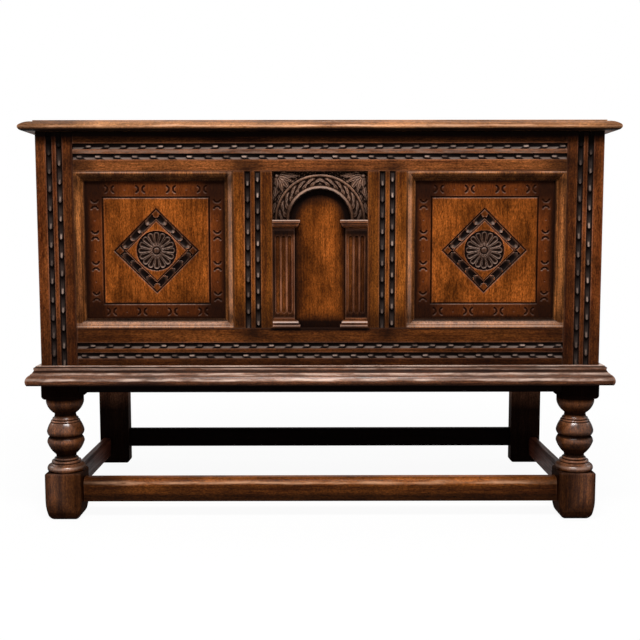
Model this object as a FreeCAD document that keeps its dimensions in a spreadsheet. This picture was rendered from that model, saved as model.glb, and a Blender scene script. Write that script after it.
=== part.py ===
import FreeCAD, Part
import math
import os
from types import SimpleNamespace

import Sketcher
from FreeCAD import Placement, Rotation, Vector

# Coffer chest: a panelled oak box on turned front legs, with a lid hinged at the back.
# Millimetres. X runs along the length, -Y is the carved front, Z is up from the floor,
# and the plan is centred on the origin.

doc = FreeCAD.newDocument("coffer_chest")

SIZES = {
    # the box
    "carcass_width": 1150,
    "carcass_depth": 536,
    "carcass_bottom": 327,
    "carcass_height": 478,
    "frame_thickness": 34,
    "stile_width": 75,
    "top_rail_width": 80,
    "bottom_rail_width": 79.5,
    "muntin_width": 80,
    "centre_bay_width": 194,
    # joints and fits
    "fit_gap": 0.15,
    "mortise_slack": 1,
    "tenon_shoulder": 12,
    "long_tenon": 28,
    "short_tenon": 20,
    "tenon_thickness": 10,
    "groove_depth": 9,
    "panel_play": 1,
    "cut_overrun": 20,
    # panels and their mouldings
    "panel_thickness": 10,
    "panel_recess": 18,
    "moulding_width": 18.5,
    "moulding_set_back": 1,
    "moulding_face_width": 12.5,
    "moulding_face_drop": 6,
    "moulding_quirk": 2,
    "moulding_foot_width": 2.5,
    "moulding_foot_height": 4,
    # carving of the square panels
    "incised_square": 218,
    "incised_width": 2,
    "incised_depth": 1.5,
    "lozenge_side": 119,
    "lozenge_band": 14.5,
    "lozenge_depth": 3,
    "rosette_radius": 38.5,
    "rosette_heart": 9,
    "rosette_button": 6,
    "rosette_heart_depth": 3,
    "petal_radius": 6,
    "petal_root": 1.4,
    "petal_lift": 2,
    # carved channels
    "channel_width": 11.5,
    "channel_ridge": 9,
    "channel_depth": 5,
    "bottom_channel_drop": 7,
    # arch and pilasters
    "arch_crown_margin": 5,
    "arch_radius": 62,
    "arch_inner_bead": 7,
    "arch_band_width": 18,
    "arch_outer_bead": 6,
    "spandrel_thickness": 9,
    "arch_band_thickness": 11,
    "arch_bead_thickness": 14,
    "pilaster_width": 45,
    "pilaster_thickness": 13,
    "impost_height": 20,
    "impost_overhang": 11,
    "impost_projection": 9,
    "base_height": 20,
    "flute_radius": 4.6,
    "flute_spacing": 12,
    "flute_depth": 3.4,
    "flute_top_stop": 16,
    "flute_bottom_stop": 14,
    # lid
    "lid_thickness": 21.7,
    "lid_gap": 0.3,
    "lid_overhang": 27,
    "lid_fillet_inset": 24,
    "lid_fillet_step": 2.5,
    "lid_under_width": 10,
    "lid_under_height": 6.5,
    "lid_tip_width": 3.5,
    "lid_tip_rise": 6,
    # stand
    "stand_proud": 3,
    "stand_rail_height": 53.5,
    "leg_margin": 5,
    "foot_set_in": 4,
    "foot_height": 101,
    "foot_edge_round": 11,
    "foot_shoulder_round": 4.5,
    "leg_arris_round": 7,
    "block_edge_round": 8,
    "post_foot_round": 8,
    # turning, in order from the foot up
    "torus_neck": 37,
    "torus_head": 33.5,
    "torus_height": 14.5,
    "flare_height": 14,
    "ankle_radius": 19.5,
    "ankle_height": 3.5,
    "fillet_radius": 20.8,
    "fillet_height": 4,
    "bulb_foot_radius": 21.5,
    "bulb_radius": 38.4,
    "bulb_groove_radius": 32.8,
    "lower_bulb_height": 38.5,
    "upper_bulb_height": 33,
    "bulb_head_radius": 28.5,
    "collar_radius": 27.3,
    "collar_height": 3,
    "neck_radius": 22,
    "neck_height": 12.5,
    "cup_radius": 38.8,
    "cup_height": 24.5,
    "cup_band_height": 8.5,
    # stretchers
    "stretcher_bottom": 43,
    "front_stretcher_drop": 7,
    "side_stretcher_drop": 22,
    "side_stretcher_out": 20,
    "stretcher_height": 46,
    "front_stretcher_height": 49.5,
    "stretcher_thickness": 32,
    "side_stretcher_thickness": 22,
    "rear_stretcher_thickness": 24,
    "stretcher_tenon": 12,
    "stretcher_arris_round": 7,
    "worn_arris_round": 12,
    # plinth moulding
    "plinth_lip": 2,
    "plinth_top_projection": 9.5,
    "plinth_fillet_height": 2.5,
    "plinth_bead_height": 4.5,
    "plinth_bead_projection": 12,
    "plinth_cove_height": 9,
    "plinth_cove_projection": 18.5,
    "plinth_step": 1.5,
    "plinth_nose_root": 20,
    "plinth_nose_foot": 24.5,
    "plinth_nose_height": 21.5,
    # bottom
    "cleat_width": 20,
    "cleat_height": 25,
    "cleat_rise": 5,
    "bottom_board_thickness": 14,
    "bottom_board_gap": 0.5,
    # hinges
    "hinge_inset": 95,
    "hinge_length": 90,
    "leaf_thickness": 2.2,
    "leaf_width": 30,
    "knuckle_radius": 5,
    "knuckle_setback": 5.5,
    "knuckle_gap": 0.3,
    "pin_radius": 2.5,
    "pin_fit": 0.1,
    "screw_head_radius": 4,
    "screw_radius": 2,
    "screw_length": 13,
    "screw_spacing": 30,
    "screw_inset": 15,
}

BOTTOM_BOARDS = 5
LID_BOARDS = ("lid_board_front", "lid_board_middle", "lid_board_rear")
FLUTES = 3
# The corner of a bracket's section at which its swelling face starts.
SWELLING = 3
PETALS = 16
KNUCKLES = 5
SCREWS_PER_LEAF = 3
SIDES = {"left": -1, "right": 1}
HALF_STEP = 0.5
UPRIGHT_TURN = 0
MITRE_TURN = 45

# Two heights nearer than this are taken as one.
TOUCHING = 1e-6

# Shares that give the arcs of a profile their radius or split a member in height.
ROUND_SHARE = 0.65
FLARE_ROUND_SHARE = 2.4
TORUS_ROUND_SHARE = 0.6
BELLY_SHARE = 0.69
BELLY_ROUND_SHARE = 1.43
GROOVE_ROUND_SHARE = 0.42
CROWN_SHARE = 0.35
CROWN_ROUND_SHARE = 1.64
CUP_ROUND_SHARE = 1.5
NECK_ROUND_SHARE = 1.1
NOSE_ROUND_SHARE = 1.3
TIP_ROUND_SHARE = 2
UNDER_ROUND_SHARE = 0.75
OVOLO_ROUND_SHARE = 1.05
PANEL_COVE_SHARE = 0.8
COVE_ROUND_SHARE = 1.5
PLINTH_NOSE_SHARE = 0.7
BRACKET_NOSE_SHARE = 0.3
BRACKET_NECK_SHARE = 0.78
BRACKET_STEP_SHARE = 0.2
BRACKET_ROUND_SHARE = 0.85

sheet = doc.addObject("Spreadsheet::Sheet", "Sizes")
for row, (name, value) in enumerate(SIZES.items(), start=1):
    sheet.set("A%d" % row, name)
    sheet.set("B%d" % row, str(value))
    sheet.setAlias("B%d" % row, name)
doc.recompute()


class Size:
    """A length: its value in millimetres and the sheet expression that drives it."""

    def __init__(self, value, text):
        self.value = value
        self.text = text

    def __add__(self, other):
        return Size(self.value + other.value, "(%s + %s)" % (self.text, other.text))

    def __sub__(self, other):
        return Size(self.value - other.value, "(%s - %s)" % (self.text, other.text))

    def __mul__(self, share):
        return Size(self.value * share, "(%s * %r)" % (self.text, share))

    def __truediv__(self, count):
        return Size(self.value / count, "(%s / %r)" % (self.text, count))

    def __neg__(self):
        return self * -1


ZERO = Size(0, "0")
size = SimpleNamespace(**{name: Size(value, "Sizes." + name) for name, value in SIZES.items()})

front_y = -size.carcass_depth / 2
back_y = size.carcass_depth / 2
half_width = size.carcass_width / 2
carcass_top = size.carcass_bottom + size.carcass_height
stile_inner = half_width - size.stile_width
opening_low = size.carcass_bottom + size.bottom_rail_width
opening_high = carcass_top - size.top_rail_width
bay_edge = size.centre_bay_width / 2
muntin_outer = bay_edge + size.muntin_width
panel_back = size.panel_recess + size.panel_thickness
panel_tuck = size.groove_depth - size.panel_play
lid_bottom = carcass_top + size.lid_gap
lid_top = lid_bottom + size.lid_thickness
hinge_y = back_y + size.knuckle_setback
hinge_z = carcass_top + size.lid_gap / 2
leg_width = size.stile_width + size.leg_margin
foot_width = leg_width - size.foot_set_in
leg_x = half_width + size.stand_proud - leg_width / 2
leg_y = front_y - size.stand_proud + leg_width / 2
stand_bottom = size.carcass_bottom - size.stand_rail_height

PIECES = []


def bind(item, prop, length):
    """Drive one property of an object from the sheet."""
    item.setExpression(prop, length.text)


def place(item, point, rotation=None):
    """Put an object at a point that follows the sheet."""
    if rotation is not None:
        item.Placement = Placement(Vector(), rotation)
    for letter, length in zip("xyz", point):
        bind(item, "Placement.Base." + letter, length)


def box(name, low, high):
    item = doc.addObject("Part::Box", name)
    for prop, start, end in zip(("Length", "Width", "Height"), low, high):
        bind(item, prop, end - start)
    place(item, low)
    return item


def cylinder(name, radius, length, base, rotation=None):
    item = doc.addObject("Part::Cylinder", name)
    bind(item, "Radius", radius)
    bind(item, "Height", length)
    place(item, base, rotation)
    return item


def ball(name, radius, centre):
    item = doc.addObject("Part::Sphere", name)
    bind(item, "Radius", radius)
    place(item, centre)
    return item


def union(name, items):
    item = doc.addObject("Part::MultiFuse", name)
    item.Shapes = items
    return item


def cut(name, stock, tools):
    item = doc.addObject("Part::Cut", name)
    item.Base = stock
    item.Tool = tools[0] if len(tools) == 1 else union(name + "_tools", tools)
    return item


def common(name, first, second):
    item = doc.addObject("Part::Common", name)
    item.Base = first
    item.Tool = second
    return item


def piece(label, item):
    """Name a finished sub-part and list it for writing."""
    item.Label = label
    PIECES.append(item)
    return item


def group(label, items):
    """Like pieces that share one node, each still a solid of its own."""
    item = doc.addObject("Part::Compound", label)
    item.Links = items
    return piece(label, item)


def ordered(first, second):
    return (first, second) if first.value < second.value else (second, first)


def arc_between(start, end, radius):
    """Counter-clockwise circle arc of a sketch edge; a positive radius turns left on the way."""
    chord = end - start
    rise = math.sqrt(max(radius ** 2 - (chord.Length / 2) ** 2, 0))
    across = Vector(-chord.y, chord.x, 0).normalize() * math.copysign(rise, radius)
    centre = (start + end) * 0.5 + across
    first, last = (start, end) if radius > 0 else (end, start)
    angles = [math.atan2(point.y - centre.y, point.x - centre.x) for point in (first, last)]
    return Part.ArcOfCircle(Part.Circle(centre, Vector(0, 0, 1), abs(radius)), *angles)


def outline(sketch, corners):
    """Close a loop of lines and arcs through corners that follow the sheet.

    A corner is (u, v), or (u, v, radius) where the edge to the next corner is an arc that
    turns left for a positive radius and right for a negative one.
    """
    points = [Vector(corner[0].value, corner[1].value, 0) for corner in corners]
    edges = []
    for index, corner in enumerate(corners):
        start = points[index]
        end = points[(index + 1) % len(points)]
        if len(corner) == 2:
            edges.append((sketch.addGeometry(Part.LineSegment(start, end), False), 1, 2))
            continue
        radius = corner[2]
        number = sketch.addGeometry(arc_between(start, end, radius.value), False)
        edges.append((number, 1, 2) if radius.value > 0 else (number, 2, 1))
        rule = sketch.addConstraint(Sketcher.Constraint("Radius", number, abs(radius.value)))
        sketch.setExpression("Constraints[%d]" % rule, "abs(%s)" % radius.text)
    for index, corner in enumerate(corners):
        number, start_end, far_end = edges[index]
        following, following_start, _ = edges[(index + 1) % len(edges)]
        sketch.addConstraint(
            Sketcher.Constraint("Coincident", number, far_end, following, following_start))
        for kind, length in zip(("DistanceX", "DistanceY"), corner):
            rule = sketch.addConstraint(
                Sketcher.Constraint(kind, -1, 1, number, start_end, length.value))
            sketch.setExpression("Constraints[%d]" % rule, length.text)


def new_sketch(body, name, plane):
    """A sketch on one of the body's own origin planes."""
    sketch = body.newObject("Sketcher::SketchObject", name)
    support = [feature for feature in body.Origin.OriginFeatures if feature.Role == plane][0]
    sketch.AttachmentSupport = [(support, "")]
    sketch.MapMode = "FlatFace"
    return sketch


def padded(name, plane, corners, length):
    """A body made by padding one outline off an origin plane."""
    body = doc.addObject("PartDesign::Body", name)
    sketch = new_sketch(body, name + "_sketch", plane)
    outline(sketch, corners)
    pad = body.newObject("PartDesign::Pad", name + "_pad")
    pad.Profile = sketch
    bind(pad, "Length", length)
    return body


def board(label, stock, tenons=(), sockets=()):
    """A squared board: tenons added, then mortises, grooves and channels cut."""
    item = box(label + "_stock", *stock)
    if tenons:
        added = [box("%s_tenon_%d" % (label, n), *ends) for n, ends in enumerate(tenons)]
        item = union(label + "_tenoned", [item] + added)
    if sockets:
        tools = [box("%s_socket_%d" % (label, n), *ends) for n, ends in enumerate(sockets)]
        item = cut(label + "_board", item, tools)
    return item


class Wall:
    """One face of the box: u runs along it, w goes in from its outer face, z is up."""

    def __init__(self, along, face, inward):
        self.along = along
        self.face = face
        self.inward = inward

    def block(self, u, w, z):
        """Low and high corners of a box given in this wall's own terms."""
        depth = ordered(self.face + w[0] * self.inward, self.face + w[1] * self.inward)
        if self.along == "x":
            return (u[0], depth[0], z[0]), (u[1], depth[1], z[1])
        return (depth[0], u[0], z[0]), (depth[1], u[1], z[1])


front = Wall("x", front_y, 1)
back = Wall("x", back_y, -1)
ends = {"left": Wall("y", -half_width, 1), "right": Wall("y", half_width, -1)}
end_run = (front_y + size.frame_thickness, back_y - size.frame_thickness)
front_run = (-stile_inner, stile_inner)

frame_depth = (ZERO, size.frame_thickness)
tongue_depth = (size.panel_recess, panel_back)
groove_span = (size.panel_recess - size.fit_gap, panel_back + size.fit_gap)
top_rail_span = (opening_high, carcass_top)
bottom_rail_span = (size.carcass_bottom, opening_low)


def tenon_span(span):
    return span[0] + size.tenon_shoulder, span[1] - size.tenon_shoulder


def eased(span):
    """A span opened out on both sides by the fit gap."""
    return span[0] - size.fit_gap, span[1] + size.fit_gap


def channel_spans(centre):
    """The two carved channels that run either side of a centre line."""
    near = size.channel_ridge / 2
    far = near + size.channel_width
    return (centre - far, centre - near), (centre + near, centre + far)


def rail(label, wall, run, span, tenon, muntin_spans, channel_centre=None):
    """A rail between two posts, grooved for panels in the edge that faces the opening."""
    is_top = span is top_rail_span
    edge = span[0] if is_top else span[1]
    into = 1 if is_top else -1
    groove = ordered(edge, edge + size.groove_depth * into)
    mortise = ordered(edge, edge + (size.short_tenon + size.mortise_slack) * into)
    tenons = [wall.block((run[0] - tenon, run[0]), tongue_depth, tenon_span(span)),
              wall.block((run[1], run[1] + tenon), tongue_depth, tenon_span(span))]
    sockets = [wall.block(run, groove_span, groove)]
    for muntin_span in muntin_spans:
        sockets.append(wall.block(eased(tenon_span(muntin_span)), groove_span, mortise))
    if channel_centre is not None:
        for channel in channel_spans(channel_centre):
            sockets.append(wall.block(run, (ZERO, size.channel_depth), channel))
    return piece(label, board(label, wall.block(run, frame_depth, span), tenons, sockets))


def muntin(label, wall, span, channels=()):
    """An upright between the rails, tenoned at both ends and grooved down both edges."""
    height = (opening_low, opening_high)
    tenons = [wall.block(tenon_span(span), tongue_depth, (opening_low - size.short_tenon, opening_low)),
              wall.block(tenon_span(span), tongue_depth, (opening_high, opening_high + size.short_tenon))]
    sockets = [wall.block((span[0], span[0] + size.groove_depth), groove_span, height),
               wall.block((span[1] - size.groove_depth, span[1]), groove_span, height)]
    for channel in channels:
        sockets.append(wall.block(channel, (ZERO, size.channel_depth), height))
    return piece(label, board(label, wall.block(span, frame_depth, height), tenons, sockets))


def panel(name, wall, opening):
    """A flat panel that sits in the grooves around an opening."""
    spread = (opening[0] - panel_tuck, opening[1] + panel_tuck)
    height = (opening_low - panel_tuck, opening_high + panel_tuck)
    return box(name, *wall.block(spread, tongue_depth, height))


def post_sockets(wall, edge, into, tenon):
    """Rail mortises and the panel groove cut into a post beyond one end of a wall."""
    reach = ordered(edge, edge + (tenon + size.mortise_slack) * into)
    sockets = [wall.block(reach, groove_span, eased(tenon_span(span)))
               for span in (top_rail_span, bottom_rail_span)]
    groove_height = (opening_low - size.groove_depth, opening_high + size.groove_depth)
    groove_reach = ordered(edge, edge + size.groove_depth * into)
    return sockets + [wall.block(groove_reach, groove_span, groove_height)]


def front_frame():
    """Carved stiles, rails and muntins of the front."""
    bays = [(-muntin_outer, -bay_edge), (bay_edge, muntin_outer)]
    top_centre = (opening_high + carcass_top) / 2
    bottom_centre = (size.carcass_bottom + opening_low) / 2 - size.bottom_channel_drop
    rail("front_top_rail", front, front_run, top_rail_span, size.long_tenon, bays, top_centre)
    rail("front_bottom_rail", front, front_run, bottom_rail_span, size.long_tenon, bays, bottom_centre)
    for side, sign in SIDES.items():
        centre = (bay_edge + size.muntin_width / 2) * sign
        span = (centre - size.muntin_width / 2, centre + size.muntin_width / 2)
        muntin("front_muntin_" + side, front, span, channel_spans(centre))
        front_stile("front_stile_" + side, side, sign)


def front_stile(label, side, sign):
    """A front corner upright, standing on the block of the leg below it."""
    across = ordered(stile_inner * sign, half_width * sign)
    height = (size.carcass_bottom, carcass_top)
    sockets = post_sockets(front, stile_inner * sign, sign, size.long_tenon)
    sockets += post_sockets(ends[side], end_run[0], -1, size.short_tenon)
    centre = (half_width - size.stile_width / 2) * sign
    for channel in channel_spans(centre):
        sockets.append(front.block(channel, (ZERO, size.channel_depth), height))
    piece(label, board(label, front.block(across, frame_depth, height), sockets=sockets))


def square_ring(name, outer, band, depth, centre, angle):
    """A shallow square channel in a panel face, turned about the panel's middle."""
    half = outer / 2
    inner = half - band
    reach = (-size.cut_overrun, depth)
    plate = box(name + "_outer", (-half, reach[0], -half), (half, reach[1], half))
    middle = box(name + "_inner", (-inner, reach[0], -inner), (inner, reach[1], inner))
    ring = cut(name, plate, [middle])
    place(ring, centre, Rotation(Vector(0, 1, 0), angle))
    return ring


def rosette_tools(name, centre):
    """Scooped petals around a button: a tapered gouge cut with a round outer end for each."""
    tools = []
    petal_end = size.rosette_radius - size.petal_radius
    for number in range(PETALS):
        angle = 360 * (number + HALF_STEP) / PETALS
        sine = math.sin(math.radians(angle))
        cosine = math.cos(math.radians(angle))
        face_y = centre[1] - size.petal_lift
        root = (centre[0] + size.rosette_heart * sine, face_y, centre[2] + size.rosette_heart * cosine)
        tip = (centre[0] + petal_end * sine, face_y, centre[2] + petal_end * cosine)
        gouge = doc.addObject("Part::Cone", "%s_petal_%d" % (name, number))
        bind(gouge, "Radius1", size.petal_root + size.petal_lift)
        bind(gouge, "Radius2", size.petal_radius)
        bind(gouge, "Height", petal_end - size.rosette_heart)
        place(gouge, root, Rotation(Vector(0, 1, 0), angle))
        tools += [gouge, ball("%s_petal_end_%d" % (name, number), size.petal_radius, tip)]
    turn = Rotation(Vector(1, 0, 0), 90)
    heart_base = (centre[0], centre[1] + size.rosette_heart_depth, centre[2])
    heart = cylinder(name + "_heart", size.rosette_heart, size.cut_overrun, heart_base, turn)
    button = cylinder(name + "_button", size.rosette_button, size.cut_overrun, heart_base, turn)
    return tools + [cut(name + "_heart_ring", heart, [button])]


def carved_panel(label, opening):
    """A square panel: incised square, sunk lozenge band, and a rosette at the middle."""
    centre = ((opening[0] + opening[1]) / 2, front_y + size.panel_recess, (opening_low + opening_high) / 2)
    tools = [
        square_ring(label + "_square", size.incised_square, size.incised_width, size.incised_depth,
                    centre, UPRIGHT_TURN),
        square_ring(label + "_lozenge", size.lozenge_side, size.lozenge_band, size.lozenge_depth,
                    centre, MITRE_TURN),
    ]
    tools += rosette_tools(label + "_rosette", centre)
    piece(label, cut(label, panel(label + "_blank", front, opening), tools))


def front_panels():
    """The two square carved panels and the one behind the arch."""
    carved_panel("front_panel_left", (-stile_inner, -muntin_outer))
    carved_panel("front_panel_right", (muntin_outer, stile_inner))
    piece("front_panel_centre", panel("front_panel_centre", front, (-bay_edge, bay_edge)))


def moulding_profile():
    """Section of the panel moulding: u goes back from the face, v in from the opening edge."""
    quirk_v = size.moulding_face_width
    face_u = size.moulding_set_back + size.moulding_face_drop
    foot_v = size.moulding_width - size.moulding_foot_width
    foot_u = size.panel_recess - size.moulding_foot_height
    return [
        (size.panel_recess, ZERO),
        (size.moulding_set_back, ZERO, -size.moulding_face_width * OVOLO_ROUND_SHARE),
        (face_u, quirk_v),
        (face_u + size.moulding_quirk, quirk_v, (foot_u - face_u) * PANEL_COVE_SHARE),
        (foot_u, foot_v),
        (foot_u, size.moulding_width),
        (size.panel_recess, size.moulding_width),
    ]


def mitre_tool(name, corner, rotation, reach):
    """A block whose edge stands on a mitre corner and clears everything beyond it."""
    item = doc.addObject("Part::Box", name)
    for prop in ("Length", "Width", "Height"):
        bind(item, prop, reach)
    place(item, corner, rotation)
    return item


def moulding_strip(name, length, point, angle):
    """One side of a panel moulding, mitred at both ends and turned into place."""
    strip = padded(name + "_strip", "YZ_Plane", moulding_profile(), length)
    place(strip, (-length / 2, ZERO, ZERO))
    tilt = Rotation(Vector(0, 1, 0), -MITRE_TURN)
    reach = size.moulding_width + size.panel_recess + size.cut_overrun
    tools = [mitre_tool("%s_mitre_%d" % (name, n), (end, -size.cut_overrun, ZERO), tilt, reach)
             for n, end in enumerate((-length / 2, length / 2))]
    item = cut(name, strip, tools)
    place(item, point, Rotation(Vector(0, 1, 0), angle))
    return item


def panel_moulding(label, opening):
    """Four mitred strips around a square panel."""
    middle_x = (opening[0] + opening[1]) / 2
    middle_z = (opening_low + opening_high) / 2
    width = opening[1] - opening[0]
    height = opening_high - opening_low
    strips = [
        moulding_strip(label + "_bottom", width, (middle_x, front_y, opening_low), 0),
        moulding_strip(label + "_left", height, (opening[0], front_y, middle_z), 90),
        moulding_strip(label + "_top", width, (middle_x, front_y, opening_high), 180),
        moulding_strip(label + "_right", height, (opening[1], front_y, middle_z), -90),
    ]
    group(label, strips)


arch_ring_width = size.arch_inner_bead + size.arch_band_width + size.arch_outer_bead
arch_z = opening_high - size.arch_crown_margin - size.arch_radius - arch_ring_width
niche_y = front_y + size.panel_recess


def half_ring(body, name, inner, outer, thickness):
    """Half a flat ring over the springing line, added to the front of a body."""
    sketch = new_sketch(body, name + "_sketch", "XZ_Plane")
    outline(sketch, [
        (-outer, arch_z),
        (-inner, arch_z, -inner),
        (ZERO, arch_z + inner, -inner),
        (inner, arch_z),
        (outer, arch_z, outer),
        (ZERO, arch_z + outer, outer),
    ])
    pad = body.newObject("PartDesign::Pad", name + "_pad")
    pad.Profile = sketch
    bind(pad, "Length", thickness)


def arch_head():
    """Spandrel plate with a raised band between two beads around the round-headed niche."""
    inner = size.arch_radius
    side = bay_edge - size.fit_gap
    top = opening_high - size.fit_gap
    body = padded("arch_head", "XZ_Plane", [
        (-side, arch_z),
        (-inner, arch_z, -inner),
        (ZERO, arch_z + inner, -inner),
        (inner, arch_z),
        (side, arch_z),
        (side, top),
        (-side, top),
    ], size.spandrel_thickness)
    for name, width, thickness in (
            ("arch_inner_bead", size.arch_inner_bead, size.arch_bead_thickness),
            ("arch_band", size.arch_band_width, size.arch_band_thickness),
            ("arch_outer_bead", size.arch_outer_bead, size.arch_bead_thickness)):
        half_ring(body, name, inner, inner + width, thickness)
        inner = inner + width
    place(body, (ZERO, niche_y, ZERO))
    piece("arch_head", body)


def bracket_outline(back, narrow, broad, height, is_base, turn):
    """Section of an impost or a base: straight back, square nose, swelling face, narrow end."""
    nose = height * BRACKET_NOSE_SHARE
    neck = height * BRACKET_NECK_SHARE
    shoulder = broad + (narrow - broad) * BRACKET_STEP_SHARE
    corners = [
        (back, ZERO),
        (broad, ZERO),
        (broad, nose),
        (shoulder, nose),
        (narrow, neck),
        (narrow, height),
        (back, height),
    ]
    if not is_base:
        corners = [(out, height - level) for out, level in corners]
    corners[SWELLING] += (size.impost_overhang * BRACKET_ROUND_SHARE * turn,)
    return corners


def bracket(label, sign, low, height, is_base):
    """An impost or a base: the front section and the return section, cut to one block."""
    turn = -1 if is_base else 1
    narrow = size.pilaster_thickness
    broad = narrow + size.impost_projection
    inner = bay_edge - size.pilaster_width
    overhang = inner - size.impost_overhang
    face = padded(label + "_face", "YZ_Plane", bracket_outline(ZERO, -narrow, -broad, height, is_base, turn),
                  bay_edge - overhang)
    place(face, (ordered(overhang * sign, bay_edge * sign)[0], niche_y, low))
    flank = padded(label + "_flank", "XZ_Plane",
                   bracket_outline(bay_edge * sign, inner * sign, overhang * sign, height, is_base,
                                   turn * sign),
                   broad)
    place(flank, (ZERO, niche_y, low))
    piece(label, common(label, face, flank))


def pilaster(label, sign, low, high):
    """A shaft with stopped round flutes between its base and its impost."""
    across = ordered((bay_edge - size.pilaster_width) * sign, bay_edge * sign)
    face_y = niche_y - size.pilaster_thickness
    stock = box(label + "_stock", (across[0], face_y, low), (across[1], niche_y, high))
    middle = (across[0] + across[1]) / 2
    flute_y = face_y - size.flute_radius + size.flute_depth
    flute_low = low + size.flute_bottom_stop
    flute_high = high - size.flute_top_stop
    tools = []
    for number in range(FLUTES):
        flute_x = middle + size.flute_spacing * (number - (FLUTES - 1) / 2)
        name = "%s_flute_%d" % (label, number)
        tools.append(cylinder(name, size.flute_radius, flute_high - flute_low,
                              (flute_x, flute_y, flute_low)))
        tools.append(ball(name + "_foot", size.flute_radius, (flute_x, flute_y, flute_low)))
        tools.append(ball(name + "_head", size.flute_radius, (flute_x, flute_y, flute_high)))
    piece(label, cut(label, stock, tools))


def arcade():
    """The arch with its two pilasters, imposts and bases, planted on the centre panel."""
    arch_head()
    shaft_low = opening_low + size.base_height
    shaft_high = arch_z - size.impost_height
    for side, sign in SIDES.items():
        bracket("impost_" + side, sign, shaft_high, size.impost_height, False)
        pilaster("pilaster_" + side, sign, shaft_low, shaft_high)
        bracket("pilaster_base_" + side, sign, opening_low, size.base_height, True)


def end_frames():
    """Left and right ends: two rails, a muntin and two plain panels each."""
    half_muntin = size.muntin_width / 2
    span = (-half_muntin, half_muntin)
    for side, wall in ends.items():
        rail("end_top_rail_" + side, wall, end_run, top_rail_span, size.short_tenon, [span])
        rail("end_bottom_rail_" + side, wall, end_run, bottom_rail_span, size.short_tenon, [span])
        muntin("end_muntin_" + side, wall, span)
        panels = [panel("end_panel_%s_front" % side, wall, (end_run[0], -half_muntin)),
                  panel("end_panel_%s_rear" % side, wall, (half_muntin, end_run[1]))]
        group("end_panels_" + side, panels)


def hinge_x(sign):
    """Middle of a hinge along the back, set in from the rear post."""
    return (stile_inner - size.hinge_inset - size.hinge_length / 2) * sign


def back_frame():
    """Plain back: rails, two muntins and three panels; the top rail is let in for the hinges."""
    bays = [(-muntin_outer, -bay_edge), (bay_edge, muntin_outer)]
    top = rail("back_top_rail_blank", back, front_run, top_rail_span, size.long_tenon, bays)
    PIECES.remove(top)
    tools = []
    for side, sign in SIDES.items():
        low, high = leaf_span(sign, size.fit_gap)
        tools.append(box("case_leaf_seat_" + side,
                         (low, back_y - size.leaf_width - size.fit_gap, carcass_top - size.leaf_thickness),
                         (high, back_y + size.cut_overrun, carcass_top + size.cut_overrun)))
        tools += screw_holes("case_screw_hole_" + side, sign, carcass_top - size.leaf_thickness, -1)
    piece("back_top_rail", cut("back_top_rail", top, tools))
    rail("back_bottom_rail", back, front_run, bottom_rail_span, size.long_tenon, bays)
    for side, span in zip(SIDES, bays):
        muntin("back_muntin_" + side, back, span)
    openings = ((-stile_inner, -muntin_outer), (-bay_edge, bay_edge), (muntin_outer, stile_inner))
    group("back_panels", [panel("back_panel_%d" % n, back, opening) for n, opening in enumerate(openings)])


def bottom():
    """Loose-fitted bottom boards that lie on a cleat along the front and one along the back."""
    inner_y = (front_y + size.frame_thickness, back_y - size.frame_thickness)
    inner_x = half_width - size.frame_thickness
    cleat_low = size.carcass_bottom + size.cleat_rise
    cleat_high = cleat_low + size.cleat_height
    cleats = [box("bottom_cleat_front", (-inner_x, inner_y[0], cleat_low),
                  (inner_x, inner_y[0] + size.cleat_width, cleat_high)),
              box("bottom_cleat_back", (-inner_x, inner_y[1] - size.cleat_width, cleat_low),
                  (inner_x, inner_y[1], cleat_high))]
    group("bottom_cleats", cleats)
    pitch = inner_x * 2 / BOTTOM_BOARDS
    boards = []
    for number in range(BOTTOM_BOARDS):
        start = -inner_x + pitch * number
        boards.append(box("bottom_board_%d" % number,
                          (start + size.bottom_board_gap, inner_y[0] + size.bottom_board_gap, cleat_high),
                          (start + pitch - size.bottom_board_gap, inner_y[1] - size.bottom_board_gap,
                           cleat_high + size.bottom_board_thickness)))
    group("bottom_boards", boards)


def leaf_span(sign, gap):
    """Where a hinge lies along the back, opened out by a gap."""
    middle = hinge_x(sign)
    reach = size.hinge_length / 2 + gap
    return middle - reach, middle + reach


def screw_places(sign):
    for number in range(SCREWS_PER_LEAF):
        yield hinge_x(sign) + size.screw_spacing * (number - (SCREWS_PER_LEAF - 1) / 2)


def screw_holes(name, sign, face_z, way):
    """Pilot holes into the wood under a hinge leaf; way is 1 for up and -1 for down."""
    holes = []
    depth = size.screw_length + size.mortise_slack
    turn = Rotation() if way > 0 else Rotation(Vector(1, 0, 0), 180)
    for number, screw_x in enumerate(screw_places(sign)):
        holes.append(cylinder("%s_%d" % (name, number), size.screw_radius + size.fit_gap, depth,
                              (screw_x, back_y - size.screw_inset, face_z), turn))
    return holes


def screw(name, screw_x, face_z, way, gap):
    """A countersunk screw, or with a gap the hole that clears it, driven up or down from a leaf face."""
    turn = Rotation() if way > 0 else Rotation(Vector(1, 0, 0), 180)
    base = (screw_x, back_y - size.screw_inset, face_z)
    head = doc.addObject("Part::Cone", name + "_head")
    bind(head, "Radius1", size.screw_head_radius + gap)
    bind(head, "Radius2", size.screw_radius + gap)
    bind(head, "Height", size.leaf_thickness)
    place(head, base, turn)
    shank = cylinder(name + "_shank", size.screw_radius + gap, size.screw_length, base, turn)
    return union(name, [head, shank])


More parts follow.
